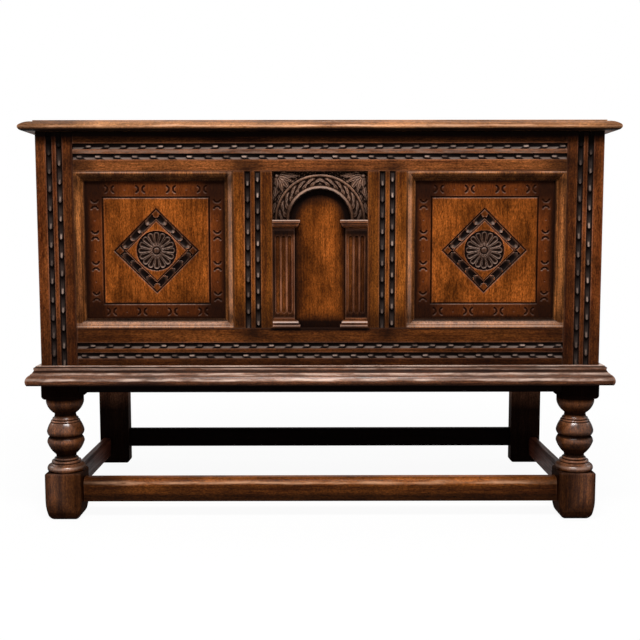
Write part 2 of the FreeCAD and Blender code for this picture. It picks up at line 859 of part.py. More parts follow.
def leaf(label, sign, way, first_knuckle):
    """One hinge leaf: a plate, its share of the knuckles, a bore for the pin, screw holes."""
    low, high = leaf_span(sign, ZERO)
    face_z = hinge_z + size.lid_gap / 2 * way
    plate_z = ordered(face_z, face_z + size.leaf_thickness * way)
    along = Rotation(Vector(0, 1, 0), 90)
    plate = box(label + "_plate", (low, back_y - size.leaf_width, plate_z[0]), (high, hinge_y, plate_z[1]))
    relief = cylinder(label + "_relief", size.knuckle_radius + size.knuckle_gap, high - low,
                      (low, hinge_y, hinge_z), along)
    solids = [cut(label + "_trimmed", plate, [relief])]
    pitch = (high - low) / KNUCKLES
    for number in range(first_knuckle, KNUCKLES, 2):
        name = "%s_knuckle_%d" % (label, number)
        start = low + pitch * number + size.knuckle_gap / 2
        end = low + pitch * (number + 1) - size.knuckle_gap / 2
        reach = size.knuckle_radius + size.knuckle_gap * 2
        solids.append(cylinder(name, size.knuckle_radius, end - start, (start, hinge_y, hinge_z), along))
        solids.append(box(name + "_web", (start, hinge_y - reach, plate_z[0]), (end, hinge_y, plate_z[1])))
    bore = cylinder(label + "_bore", size.pin_radius + size.pin_fit, high - low,
                    (low, hinge_y, hinge_z), along)
    holes = [screw("%s_hole_%d" % (label, n), x, face_z, way, size.fit_gap)
             for n, x in enumerate(screw_places(sign))]
    piece(label, cut(label, union(label + "_blank", solids), [bore] + holes))


def hinges():
    """Two butt hinges: case leaf, lid leaf and pin, with countersunk screws."""
    along = Rotation(Vector(0, 1, 0), 90)
    screws = {1: [], -1: []}
    for side, sign in SIDES.items():
        leaf("hinge_case_leaf_" + side, sign, -1, 0)
        leaf("hinge_lid_leaf_" + side, sign, 1, 1)
        low, high = leaf_span(sign, ZERO)
        label = "hinge_pin_" + side
        piece(label, cylinder(label, size.pin_radius, high - low, (low, hinge_y, hinge_z), along))
        for way in screws:
            face_z = hinge_z + size.lid_gap / 2 * way
            for number, screw_x in enumerate(screw_places(sign)):
                name = "hinge_screw_%s_%s_%d" % (side, "up" if way > 0 else "down", number)
                screws[way].append(screw(name, screw_x, face_z, way, ZERO))
    group("hinge_case_screws", screws[-1])
    group("hinge_lid_screws", screws[1])


def lid_nose(edge, way):
    """Corners of the moulded lid edge from under the edge up to the flat top, on one side."""
    tip_z = lid_bottom + size.lid_under_height
    return [
        (edge - size.lid_under_width * way, lid_bottom, size.lid_under_width * UNDER_ROUND_SHARE),
        (edge, tip_z, size.lid_tip_width * TIP_ROUND_SHARE),
        (edge - size.lid_tip_width * way, tip_z + size.lid_tip_rise,
         size.lid_fillet_inset * NOSE_ROUND_SHARE),
        (edge - size.lid_fillet_inset * way, lid_top - size.lid_fillet_step),
        (edge - size.lid_fillet_inset * way, lid_top),
    ]


def mirrored_nose(edge):
    """The same edge on the far side, walked from the top down so that the loop keeps turning left."""
    rising = lid_nose(edge, -1)
    under, tip, brow, step, top = [corner[:2] for corner in rising]
    return [top, step + (rising[2][2],), brow + (rising[1][2],), tip + (rising[0][2],), under]


def lid():
    """Three edge-jointed boards cut from one moulded blank, the rear one let in for the hinges."""
    half_lid = half_width + size.lid_overhang
    front_edge = front_y - size.lid_overhang
    rear_edge = back_y + size.lid_overhang
    depth = rear_edge - front_edge
    section = [(rear_edge, lid_bottom), (rear_edge, lid_top)] + mirrored_nose(front_edge)
    run = padded("lid_section", "YZ_Plane", section, half_lid * 2)
    place(run, (-half_lid, ZERO, ZERO))
    gable = padded("lid_gable", "XZ_Plane", lid_nose(half_lid, 1) + mirrored_nose(-half_lid), depth)
    place(gable, (ZERO, rear_edge, ZERO))
    blank = common("lid_blank", run, gable)
    pitch = depth / len(LID_BOARDS)
    for number, label in enumerate(LID_BOARDS):
        start = front_edge + pitch * number
        slab = box(label + "_slab", (-half_lid, start, lid_bottom), (half_lid, start + pitch, lid_top))
        cut_board = common(label + "_cut", blank, slab)
        if label == LID_BOARDS[-1]:
            cut_board = cut(label, cut_board, lid_hinge_seats())
        piece(label, cut_board)


def lid_hinge_seats():
    """Leaf recesses, knuckle hollows and pilot holes in the underside of the lid."""
    along = Rotation(Vector(0, 1, 0), 90)
    tools = []
    for side, sign in SIDES.items():
        low, high = leaf_span(sign, size.fit_gap)
        tools.append(box("lid_leaf_seat_" + side,
                         (low, back_y - size.leaf_width - size.fit_gap, lid_bottom - size.cut_overrun),
                         (high, hinge_y, lid_bottom + size.leaf_thickness)))
        tools.append(cylinder("lid_knuckle_hollow_" + side, size.knuckle_radius + size.knuckle_gap * 2,
                              high - low, (low, hinge_y, hinge_z), along))
        tools += screw_holes("lid_screw_hole_" + side, sign, lid_bottom + size.leaf_thickness, 1)
    return tools


def rounded_block(name, width, low, high, round_low, round_high):
    """A square block with eased corners and rounded ends, on the leg's own axis."""
    half = width / 2
    square = [(-half, -half), (half, -half), (half, half), (-half, half)]
    body = padded(name, "XY_Plane", square, high - low)
    place(body, (ZERO, ZERO, low))
    ease_edges(body, name + "_arris", size.leg_arris_round, upright_edges)
    if round_low is not None:
        ease_edges(body, name + "_low", round_low, lambda shape: level_edges(shape, shape.BoundBox.ZMin))
    if round_high is not None:
        ease_edges(body, name + "_high", round_high, lambda shape: level_edges(shape, shape.BoundBox.ZMax))
    return body


def upright_edges(shape):
    return ["Edge%d" % n for n, edge in enumerate(shape.Edges, start=1)
            if edge.BoundBox.XLength + edge.BoundBox.YLength < edge.BoundBox.ZLength]


def level_edges(shape, height):
    return ["Edge%d" % n for n, edge in enumerate(shape.Edges, start=1)
            if max(abs(edge.BoundBox.ZMin - height), abs(edge.BoundBox.ZMax - height)) < TOUCHING]


def ease_edges(body, name, radius, choose):
    """Round the edges of a body that a chooser picks from its present shape."""
    doc.recompute()
    base = body.Tip
    fillet = body.newObject("PartDesign::Fillet", name)
    fillet.Base = (base, choose(base.Shape))
    bind(fillet, "Radius", radius)
    doc.recompute()


def turned_shaft():
    """The turning between foot and block: torus, ankle, two bulbs, collar, neck and cup."""
    torus_z = size.foot_height
    flare_z = torus_z + size.torus_height
    ankle_z = flare_z + size.flare_height
    fillet_z = ankle_z + size.ankle_height
    bulb_z = fillet_z + size.fillet_height
    belly_z = bulb_z + size.lower_bulb_height * BELLY_SHARE
    groove_z = bulb_z + size.lower_bulb_height
    crown_z = groove_z + size.upper_bulb_height * CROWN_SHARE
    collar_z = groove_z + size.upper_bulb_height
    neck_z = collar_z + size.collar_height
    cup_z = neck_z + size.neck_height
    band_z = cup_z + size.cup_height
    block_z = band_z + size.cup_band_height
    corners = [
        (ZERO, torus_z - size.foot_shoulder_round),
        (size.torus_neck, torus_z - size.foot_shoulder_round),
        (size.torus_neck, torus_z, size.torus_height * TORUS_ROUND_SHARE),
        (size.torus_head, flare_z, -size.flare_height * FLARE_ROUND_SHARE),
        (size.ankle_radius, ankle_z),
        (size.ankle_radius, fillet_z),
        (size.fillet_radius, fillet_z),
        (size.fillet_radius, bulb_z),
        (size.bulb_foot_radius, bulb_z, size.lower_bulb_height * BELLY_ROUND_SHARE),
        (size.bulb_radius, belly_z, size.lower_bulb_height * GROOVE_ROUND_SHARE),
        (size.bulb_groove_radius, groove_z, size.upper_bulb_height * GROOVE_ROUND_SHARE),
        (size.bulb_radius, crown_z, size.upper_bulb_height * CROWN_ROUND_SHARE),
        (size.bulb_head_radius, collar_z),
        (size.collar_radius, collar_z),
        (size.collar_radius, neck_z, -size.neck_height * NECK_ROUND_SHARE),
        (size.neck_radius, cup_z, size.cup_height * CUP_ROUND_SHARE),
        (size.cup_radius, band_z),
        (size.cup_radius, block_z + size.block_edge_round),
        (ZERO, block_z + size.block_edge_round),
    ]
    body = doc.addObject("PartDesign::Body", "turned_shaft")
    sketch = new_sketch(body, "turned_shaft_sketch", "XZ_Plane")
    outline(sketch, corners)
    turning = body.newObject("PartDesign::Revolution", "turned_shaft_turning")
    turning.Profile = sketch
    turning.ReferenceAxis = (sketch, ["V_Axis"])
    turning.Angle = 360
    return body, block_z


stretcher_span = (size.stretcher_bottom, size.stretcher_bottom + size.stretcher_height)
front_stretcher_low = size.stretcher_bottom - size.front_stretcher_drop
front_stretcher_span = (front_stretcher_low, front_stretcher_low + size.front_stretcher_height)
side_stretcher_span = (stretcher_span[0] - size.side_stretcher_drop,
                       stretcher_span[1] - size.side_stretcher_drop)
side_stretcher_x = leg_x + size.side_stretcher_out
stand_span = (stand_bottom, size.carcass_bottom)
stand_front = Wall("x", front_y - size.stand_proud, 1)
stand_ends = {"left": Wall("y", -half_width - size.stand_proud, 1),
              "right": Wall("y", half_width + size.stand_proud, -1)}
stand_tenon_low = (size.frame_thickness - size.tenon_thickness) / 2
stand_tongue = (stand_tenon_low, stand_tenon_low + size.tenon_thickness)
stretcher_tongue = (-size.stretcher_tenon / 2, size.stretcher_tenon / 2)
block_inner = leg_x - leg_width / 2
block_rear = leg_y + leg_width / 2
foot_inner = leg_x - foot_width / 2
foot_rear = leg_y + foot_width / 2
rear_post_face = back_y - size.frame_thickness
rear_stretcher_y = back_y - size.frame_thickness / 2


def crossing(along, run, middle, across, span):
    """Corners of a box along X or Y, set about a centre line."""
    reach = (middle + across[0], middle + across[1])
    if along == "x":
        return (run[0], reach[0], span[0]), (run[1], reach[1], span[1])
    return (reach[0], run[0], span[0]), (reach[1], run[1], span[1])


def stretcher_tenon(along, run, middle, span, gap):
    """A stretcher tenon, or with a gap the mortise that takes it."""
    low, high = tenon_span(span)
    across = (stretcher_tongue[0] - gap, stretcher_tongue[1] + gap)
    return crossing(along, run, middle, across, (low - gap, high + gap))


def socket_run(edge, into, tenon):
    return ordered(edge, edge + (tenon + size.mortise_slack) * into)


def front_legs():
    """Two turned legs: square foot, turned shaft and the block under the box."""
    shaft, block_z = turned_shaft()
    foot = rounded_block("leg_foot", foot_width, ZERO, size.foot_height, size.foot_edge_round,
                         size.foot_shoulder_round)
    block = rounded_block("leg_block", leg_width, block_z, size.carcass_bottom,
                          size.block_edge_round, None)
    for side, sign in SIDES.items():
        label = "front_leg_" + side
        blank = union(label + "_blank", [foot, shaft, block])
        place(blank, (leg_x * sign, leg_y, ZERO))
        sockets = [
            stand_front.block(socket_run(block_inner * sign, sign, size.long_tenon), eased(stand_tongue),
                              eased(tenon_span(stand_span))),
            stand_ends[side].block(socket_run(block_rear, -1, size.long_tenon), eased(stand_tongue),
                                   eased(tenon_span(stand_span))),
            stretcher_tenon("x", socket_run(foot_inner * sign, sign, size.long_tenon), leg_y,
                            front_stretcher_span, size.fit_gap),
            stretcher_tenon("y", socket_run(foot_rear, -1, size.long_tenon), side_stretcher_x * sign,
                            side_stretcher_span, size.fit_gap),
        ]
        tools = [box("%s_socket_%d" % (label, n), *corners) for n, corners in enumerate(sockets)]
        piece(label, cut(label, blank, tools))


def rear_posts():
    """Plain rear uprights that run from the floor to the top as legs and stiles in one."""
    for side, sign in SIDES.items():
        label = "rear_post_" + side
        low, high = ordered(stile_inner * sign, half_width * sign)
        ease = size.post_foot_round
        upright = padded(label + "_upright", "XZ_Plane", [
            (low, ease, ease),
            (low + ease, ZERO),
            (high - ease, ZERO, ease),
            (high, ease),
            (high, carcass_top),
            (low, carcass_top),
        ], size.frame_thickness)
        place(upright, (ZERO, back_y, ZERO))
        sockets = post_sockets(back, stile_inner * sign, sign, size.long_tenon)
        sockets += post_sockets(ends[side], end_run[1], 1, size.short_tenon)
        sockets += [
            back.block(socket_run(stile_inner * sign, sign, size.long_tenon), eased(stand_tongue),
                       eased(tenon_span(stand_span))),
            stand_ends[side].block(socket_run(rear_post_face, 1, size.short_tenon), eased(stand_tongue),
                                   eased(tenon_span(stand_span))),
            stretcher_tenon("x", socket_run(stile_inner * sign, sign, size.long_tenon), rear_stretcher_y,
                            stretcher_span, size.fit_gap),
            stretcher_tenon("y", socket_run(rear_post_face, 1, size.short_tenon), side_stretcher_x * sign,
                            side_stretcher_span, size.fit_gap),
        ]
        tools = [box("%s_socket_%d" % (label, n), *corners) for n, corners in enumerate(sockets)]
        piece(label, cut(label, upright, tools))


def stand_rails():
    """Rails behind the plinth moulding, between leg blocks and rear posts."""
    def tenoned(label, wall, run, tenons):
        tongues = [wall.block((run[0] - tenons[0], run[0]), stand_tongue, tenon_span(stand_span)),
                   wall.block((run[1], run[1] + tenons[1]), stand_tongue, tenon_span(stand_span))]
        piece(label, board(label, wall.block(run, frame_depth, stand_span), tongues))

    long_pair = (size.long_tenon, size.long_tenon)
    tenoned("stand_rail_front", stand_front, (-block_inner, block_inner), long_pair)
    tenoned("stand_rail_back", back, front_run, long_pair)
    for side, wall in stand_ends.items():
        tenoned("stand_rail_" + side, wall, (block_rear, rear_post_face),
                (size.long_tenon, size.short_tenon))


def stretcher(label, along, run, middle, thickness, span, tenons, near_ease):
    """A floor stretcher with rounded upper arrises, the near one by near_ease, and tenons."""
    half = thickness / 2
    low, high = span
    ease = size.stretcher_arris_round
    bar = padded(label + "_bar", "YZ_Plane", [
        (-half, low),
        (half, low),
        (half, high - ease, ease),
        (half - ease, high),
        (near_ease - half, high, near_ease),
        (-half, high - near_ease),
    ], run[1] - run[0])
    if along == "x":
        place(bar, (run[0], middle, ZERO))
    else:
        place(bar, (middle, run[0], ZERO), Rotation(Vector(0, 0, 1), 90))
    tongues = [stretcher_tenon(along, (run[0] - tenons[0], run[0]), middle, span, ZERO),
               stretcher_tenon(along, (run[1], run[1] + tenons[1]), middle, span, ZERO)]
    solids = [box("%s_tenon_%d" % (label, n), *corners) for n, corners in enumerate(tongues)]
    piece(label, union(label, [bar] + solids))


def stretchers():
    """Front and rear stretchers along X, left and right ones along Y."""
    long_pair = (size.long_tenon, size.long_tenon)
    stretcher("stretcher_front", "x", (-foot_inner, foot_inner), leg_y, size.stretcher_thickness,
              front_stretcher_span, long_pair, size.worn_arris_round)
    stretcher("stretcher_rear", "x", front_run, rear_stretcher_y, size.rear_stretcher_thickness,
              stretcher_span, long_pair, size.stretcher_arris_round)
    for side, sign in SIDES.items():
        stretcher("stretcher_" + side, "y", (foot_rear, rear_post_face), side_stretcher_x * sign,
                  size.side_stretcher_thickness, side_stretcher_span, (size.long_tenon, size.short_tenon),
                  size.stretcher_arris_round)


def plinth_profile():
    """Section of the plinth moulding: u goes out from the box, v is the height."""
    top = size.carcass_bottom + size.plinth_lip
    bead_top = top - size.plinth_fillet_height
    bead_low = bead_top - size.plinth_bead_height
    cove_low = bead_low - size.plinth_cove_height
    nose_top = cove_low - size.plinth_step
    nose_low = nose_top - size.plinth_nose_height
    return [
        (size.stand_proud, nose_low),
        (size.plinth_nose_foot, nose_low, size.plinth_nose_height * PLINTH_NOSE_SHARE),
        (size.plinth_nose_root, nose_top),
        (size.plinth_cove_projection, nose_top),
        (size.plinth_cove_projection, cove_low, -size.plinth_cove_height * COVE_ROUND_SHARE),
        (size.plinth_bead_projection, bead_low, size.plinth_bead_height * ROUND_SHARE),
        (size.plinth_bead_projection, bead_top),
        (size.plinth_top_projection, bead_top),
        (size.plinth_top_projection, top),
        (ZERO, top),
        (ZERO, size.carcass_bottom),
        (size.stand_proud, size.carcass_bottom),
    ]


def plinth_strip(label, run, mitres, point, angle):
    """One length of plinth moulding; mitres lists the ends cut at a corner, as (x, turn)."""
    spread = size.plinth_nose_foot + size.plinth_nose_height
    start = run[0] - spread if any(turn > 0 for _, turn in mitres) else run[0]
    end = run[1] + spread if any(turn < 0 for _, turn in mitres) else run[1]
    strip = padded(label + "_strip", "YZ_Plane", plinth_profile(), end - start)
    place(strip, (start, ZERO, ZERO))
    reach = size.carcass_bottom + size.cut_overrun
    tools = [mitre_tool("%s_mitre_%d" % (label, n), (corner, ZERO, ZERO), Rotation(Vector(0, 0, 1), turn),
                        reach)
             for n, (corner, turn) in enumerate(mitres)]
    item = cut(label, strip, tools)
    place(item, point, Rotation(Vector(0, 0, 1), angle))
    piece(label, item)


def plinth():
    """Plinth moulding on the front and both ends, mitred at the front corners."""
    half_depth = size.carcass_depth / 2
    start_mitre = 180 - MITRE_TURN
    end_mitre = -MITRE_TURN
    plinth_strip("plinth_moulding_front", (-half_width, half_width),
                 [(-half_width, start_mitre), (half_width, end_mitre)], (ZERO, front_y, ZERO), 180)
    plinth_strip("plinth_moulding_left", (-half_depth, half_depth), [(-half_depth, start_mitre)],
                 (-half_width, ZERO, ZERO), 90)
    plinth_strip("plinth_moulding_right", (-half_depth, half_depth), [(half_depth, end_mitre)],
                 (half_width, ZERO, ZERO), -90)


def check(items):
    """Stop before writing if any object of the document failed."""
    for item in doc.Objects:
        if "Invalid" in item.State or "Error" in item.State:
            raise RuntimeError("%s did not build: %s" % (item.Name, item.State))
    for item in items:
        if item.Shape.isNull() or not item.Shape.isValid():
            raise RuntimeError("%s has no valid shape" % item.Label)


front_frame()
front_panels()
panel_moulding("panel_moulding_left", (-stile_inner, -muntin_outer))
panel_moulding("panel_moulding_right", (muntin_outer, stile_inner))
arcade()
end_frames()
rear_posts()
back_frame()
bottom()
front_legs()
stand_rails()
stretchers()
plinth()
lid()
hinges()
doc.recompute()
check(PIECES)

os.makedirs("parts", exist_ok=True)
for item in PIECES:
    item.Shape.exportStep("parts/%s.step" % item.Label)
print("%d pieces written" % len(PIECES))
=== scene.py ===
import math

import bmesh
import bpy
import numpy as np
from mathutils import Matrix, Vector


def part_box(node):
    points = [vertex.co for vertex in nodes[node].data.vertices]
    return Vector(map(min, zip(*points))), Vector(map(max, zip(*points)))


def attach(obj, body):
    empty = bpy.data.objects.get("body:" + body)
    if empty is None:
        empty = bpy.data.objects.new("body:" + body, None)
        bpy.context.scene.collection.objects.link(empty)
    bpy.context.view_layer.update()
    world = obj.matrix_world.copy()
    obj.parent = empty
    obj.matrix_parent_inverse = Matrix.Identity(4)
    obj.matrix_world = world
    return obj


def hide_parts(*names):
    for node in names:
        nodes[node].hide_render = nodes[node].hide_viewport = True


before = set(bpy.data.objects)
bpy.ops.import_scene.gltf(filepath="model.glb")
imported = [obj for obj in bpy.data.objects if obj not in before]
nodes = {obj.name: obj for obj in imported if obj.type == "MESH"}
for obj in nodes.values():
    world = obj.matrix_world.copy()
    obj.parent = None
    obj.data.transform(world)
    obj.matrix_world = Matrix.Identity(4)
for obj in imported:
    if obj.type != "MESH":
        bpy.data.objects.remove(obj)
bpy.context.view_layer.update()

scene = bpy.context.scene

MM = 0.001

# The camera of the photograph, solved from the chest's own edges.
CAMERA_PLACE = (-0.003465, -2.193092, 0.604426)
CAMERA_TURN_DEG = (84.60814, 0.07249, -0.09934)
CAMERA_LENS = 52.98016
SENSOR_WIDTH = 36.0

# The studio: the world's own light, and a floor that runs out to white between two distances.
WORLD_LIGHT = 0.05
WHITE = (1.0, 1.0, 1.0)
FLOOR_HALF = 8.0
FLOOR_COLOUR = (0.80, 0.79, 0.78)
FLOOR_FADE = (0.5, 1.4)
FLOOR_GLOW = 0.94

# Lamps: name, place, the spot they shine at, watts, width and height.
LAMPS = (
    ("key", (0.0, -1.55, 2.15), (0.0, -0.25, 0.55), 80, 1.3, 0.4),
    ("fill", (0.0, -3.4, 1.3), (0.0, 0.0, 0.5), 5, 2.4, 1.4),
    ("left_end", (-2.3, 0.6, 1.3), (-0.6, 0.0, 0.5), 16, 1.2, 0.8),
    ("right_end", (2.3, 0.6, 1.3), (0.6, 0.0, 0.5), 16, 1.2, 0.8),
    ("back", (0.0, 2.7, 1.6), (0.0, 0.3, 0.55), 34, 2.4, 0.8),
)

# Oak colours, linear: the pale and the deep side of the grain.
RAIL_OAK = (0.178, 0.055, 0.0145), (0.061, 0.017, 0.005)
STILE_OAK = (0.165, 0.046, 0.011), (0.058, 0.0125, 0.003)
# The bottom rail's oak is a darker copy of the top rail's: painted shade for the light that falls off lower
# down.
LOW_RAIL_OAK = (0.110, 0.032, 0.007), (0.034, 0.008, 0.002)
MUNTIN_OAK = (0.245, 0.070, 0.010), (0.080, 0.019, 0.003)
PANEL_OAK = (0.255, 0.066, 0.010), (0.066, 0.015, 0.002)
MOULDING_OAK = (0.320, 0.110, 0.028), (0.090, 0.026, 0.007)
LID_OAK = (0.400, 0.175, 0.070), (0.120, 0.041, 0.014)
PLINTH_OAK = (0.190, 0.064, 0.024), (0.045, 0.013, 0.005)
LEG_OAK = (0.185, 0.056, 0.013), (0.050, 0.013, 0.003)
STRETCHER_OAK = (0.250, 0.073, 0.013), (0.085, 0.021, 0.004)
SIDE_OAK = (0.085, 0.024, 0.012), (0.030, 0.008, 0.005)
POST_OAK = (0.270, 0.112, 0.060), (0.115, 0.046, 0.026)
# Black oak is painted shade, for the stand's side rails that lie in shadow under the plinth.
BLACK_OAK = (0.006, 0.003, 0.002), (0.002, 0.001, 0.001)
PLAIN_OAK = (0.235, 0.120, 0.056), (0.097, 0.043, 0.019)
SHAFT_OAK = (0.145, 0.041, 0.008), (0.036, 0.009, 0.003)
CARVED_OAK = (0.040, 0.022, 0.016), (0.014, 0.008, 0.006)
ROSETTE_OAK = (0.092, 0.040, 0.021), (0.028, 0.012, 0.007)
LEAF_OAK = (0.160, 0.074, 0.040), (0.052, 0.024, 0.014)

# Dirt and painted shade, wood worn bare with painted highlights (tan on the lid and the front stretcher),
# the stain of the panels' border and how much wood reflects without polish.
DIRT_AND_SHADE = (0.0020, 0.0010, 0.0009)
WORN_AND_HIGHLIGHT = (0.600, 0.420, 0.335)
TAN = (0.640, 0.345, 0.200)
BORDER = (0.075, 0.017, 0.004)
WOOD_SHINE = 0.02

# Metals: their colour, the colour of their stains and how rough they are.
BRASS = (0.55, 0.38, 0.16), (0.20, 0.13, 0.06), 0.32
STEEL = (0.36, 0.35, 0.33), (0.12, 0.09, 0.07), 0.35

# Noises: how far each is drawn out along the grain, its scale, detail and roughness; the most by which
# they are moved from piece to piece.
FIGURE = (0.12, 34.0, 4.0, 0.55)
STREAKS = (0.035, 250.0, 4.0, 0.65)
THREADS = (0.07, 640.0, 3.0, 0.70)
PORES = (0.12, 780.0, 2.0, 0.55)
CLOUDS = (0.70, 14.0, 5.0, 0.60)
FLECKS = (0.55, 430.0, 3.0, 0.60)
WANDER = (0.14, 90.0, 3.0, 0.60)
PATCHES = (0.20, 70.0, 4.0, 0.65)
BRUSHED = (0.15, 900.0, 2.0, 0.55)
TARNISH = (1.0, 120.0, 4.0, 0.55)
PIECE_SHIFT = 9.0

# How much figure, streaks and threads each give to the tone, and how far apart its two ends lie.
TONE_SHARES = (0.40, 0.34, 0.26)
TONE_HALF = 0.08

# Reach of edge wear with its painted highlight, and of fine relief, in metres; how far dirt and painted
# shade dull a surface; samples to find a corner.
EDGE_REACH = 0.0035
GRAIN_RELIEF = 0.0008
BRUSH_RELIEF = 0.0003
DIRT_AND_SHADE_DULL = 0.25
OCCLUSION_SAMPLES = 8

# A side bay and the part of its panel that shows, in metres from the chest's middle and the floor.
BAY_MIDDLE = 0.3385
PANEL_MIDDLE = 0.56575
PANEL_HALF = (0.1430, 0.14075)

# Shadows of a panel moulding: where each begins and ends, in metres out from the panel.
SLOPE_SHADE = (0.0008, 0.0050)
INNER_EDGE_SHADE = (0.0160, 0.0172)
OUTER_EDGE_SHADE = (0.0135, 0.0150)
ROOF_SHADE = (0.0130, 0.0150)
SILL_SHADE = (0.0050, 0.0072)
MITRE_SOFT = 0.0005

# The painted shade round the middle panel, out from its middle line, and the painted shadow under the
# lid, by height.
NICHE_RIM = (0.027, 0.052)
UNDER_LID = (0.776, 0.796)

# Carved work, in millimetres: faces as the CAD pieces have them, the cells of a mesh and the least turn
# that stays a sharp edge.
FRAME_FACE = -268.0
CHANNEL_FLOOR = -263.0
CELL = 1.0
CARVED_CREASE_DEG = 42.0


class Shading:
    """Adds nodes to the tree of a material or the world and links them by socket name."""

    def __init__(self, tree):
        self.tree = tree
        tree.nodes.clear()

    def add(self, kind, inputs, **settings):
        node = self.tree.nodes.new("ShaderNode" + kind)
        for setting, value in settings.items():
            setattr(node, setting, value)
        for socket, value in inputs.items():
            if isinstance(value, bpy.types.NodeSocket):
                self.tree.links.new(value, node.inputs[socket])
            else:
                node.inputs[socket].default_value = value
        return node

    def math(self, operation, first, second=0.0, clamp=False):
        return self.add("Math", {0: first, 1: second}, operation=operation, use_clamp=clamp).outputs[0]

    def times(self, first, second):
        return self.math("MULTIPLY", first, second)

    def minus(self, first, second):
        return self.math("SUBTRACT", first, second)

    def most(self, *values):
        """The greatest of several values."""
        greatest = values[0]
        for value in values[1:]:
            greatest = self.math("MAXIMUM", greatest, value)
        return greatest

    def spread(self, value, low, high, to_low=0.0, to_high=1.0):
        inputs = {"Value": value, "From Min": low, "From Max": high, "To Min": to_low, "To Max": to_high}
        return self.add("MapRange", inputs).outputs["Result"]

    def mix(self, share, first, second, blend="MIX"):
        node = self.add("Mix", {0: share, 6: first, 7: second}, data_type="RGBA", blend_type=blend)
        return node.outputs[2]

    def surface(self, colour, rough, height, strength, relief):
        """Ends the material with a surface that has fine relief."""
        bump = self.add("Bump", {"Height": height, "Strength": strength, "Distance": relief})
        shader = self.add("BsdfPrincipled", {"Base Color": colour, "Roughness": rough,
                                             "Normal": bump.outputs["Normal"]})
        self.add("OutputMaterial", {"Surface": shader.outputs["BSDF"]})
        return shader

    def occlusion(self, reach, inside=False):
        node = self.add("AmbientOcclusion", {"Distance": reach}, samples=OCCLUSION_SAMPLES, inside=inside,
                        only_local=inside)
        return node.outputs["AO"]

    def facing(self, axis):
        """How far a face is turned along an axis."""
        normal = self.add("NewGeometry", {}).outputs["Normal"]
        return self.add("SeparateXYZ", {"Vector": normal}).outputs[axis]

    def place(self):
        """The place of a spot on the chest, as X, Y and Z."""
        spot = self.add("TexCoord", {}).outputs["Object"]
        split = self.add("SeparateXYZ", {"Vector": spot})
        return [split.outputs[axis] for axis in "XYZ"]

    def aside(self):
        """How far a spot lies from the middle of the chest, to either side."""
        return self.math("ABSOLUTE", self.place()[0])

    def length(self, first, second):
        squares = [self.times(side, side) for side in (first, second)]
        return self.math("SQRT", self.math("ADD", *squares))


def rgba(colour):
    return (*colour, 1.0)


def new_material(name):
    material = bpy.data.materials.new(name)
    material.use_nodes = True
    return material, Shading(material.node_tree)


def grain_noise(shading, grain, layer, bend=0.0):
    """A noise drawn out along the grain, bent, and moved by a different amount for each piece."""
    stretch, scale, detail, roughness = layer
    spot = shading.add("TexCoord", {}).outputs["Object"]
    chance = shading.add("ObjectInfo", {}).outputs["Random"]
    shift = shading.times(chance, PIECE_SHIFT)
    moved = shading.add("VectorMath", {0: spot, 1: shift}, operation="ADD").outputs[0]
    drawn_out = [1.0, 1.0, 1.0]
    drawn_out["XYZ".index(grain)] = stretch
    place = shading.add("Mapping", {"Vector": moved, "Scale": drawn_out}).outputs["Vector"]
    inputs = {"Vector": place, "Scale": scale, "Detail": detail, "Roughness": roughness, "Distortion": bend}
    return shading.add("TexNoise", inputs).outputs["Fac"]


def oak_tone(shading, grain, curl, streaks):
    """Where the wood is pale and where it is deep, from its figure, streaks and threads."""
    figure = grain_noise(shading, grain, (FIGURE[0] * curl, *FIGURE[1:]), curl)
    threads = grain_noise(shading, grain, THREADS)
    parts = [shading.times(layer, share) for layer, share in zip((figure, streaks, threads), TONE_SHARES)]
    return shading.math("ADD", shading.math("ADD", parts[0], parts[1]), parts[2])


def edge_wear_and_highlight(shading, clouds, wear_and_highlight):
    """How pale the sharp edges are painted, in patches: their wear and a painted highlight."""
    edge = shading.spread(shading.occlusion(EDGE_REACH, inside=True), 0.92, 0.58)
    edge = shading.times(edge, shading.spread(clouds, 0.36, 0.56, 0.25, 1.0))
    return shading.times(edge, wear_and_highlight)


def upward_highlight(shading, streaks, top_highlight):
    """How far the faces turned up are painted pale, in streaks: a painted highlight where light falls from
    above.
    """
    worn_and_lit = shading.times(shading.spread(shading.facing("Z"), 0.15, 0.85), top_highlight)
    return shading.times(worn_and_lit, shading.spread(streaks, 0.38, 0.60, 0.35, 1.0))


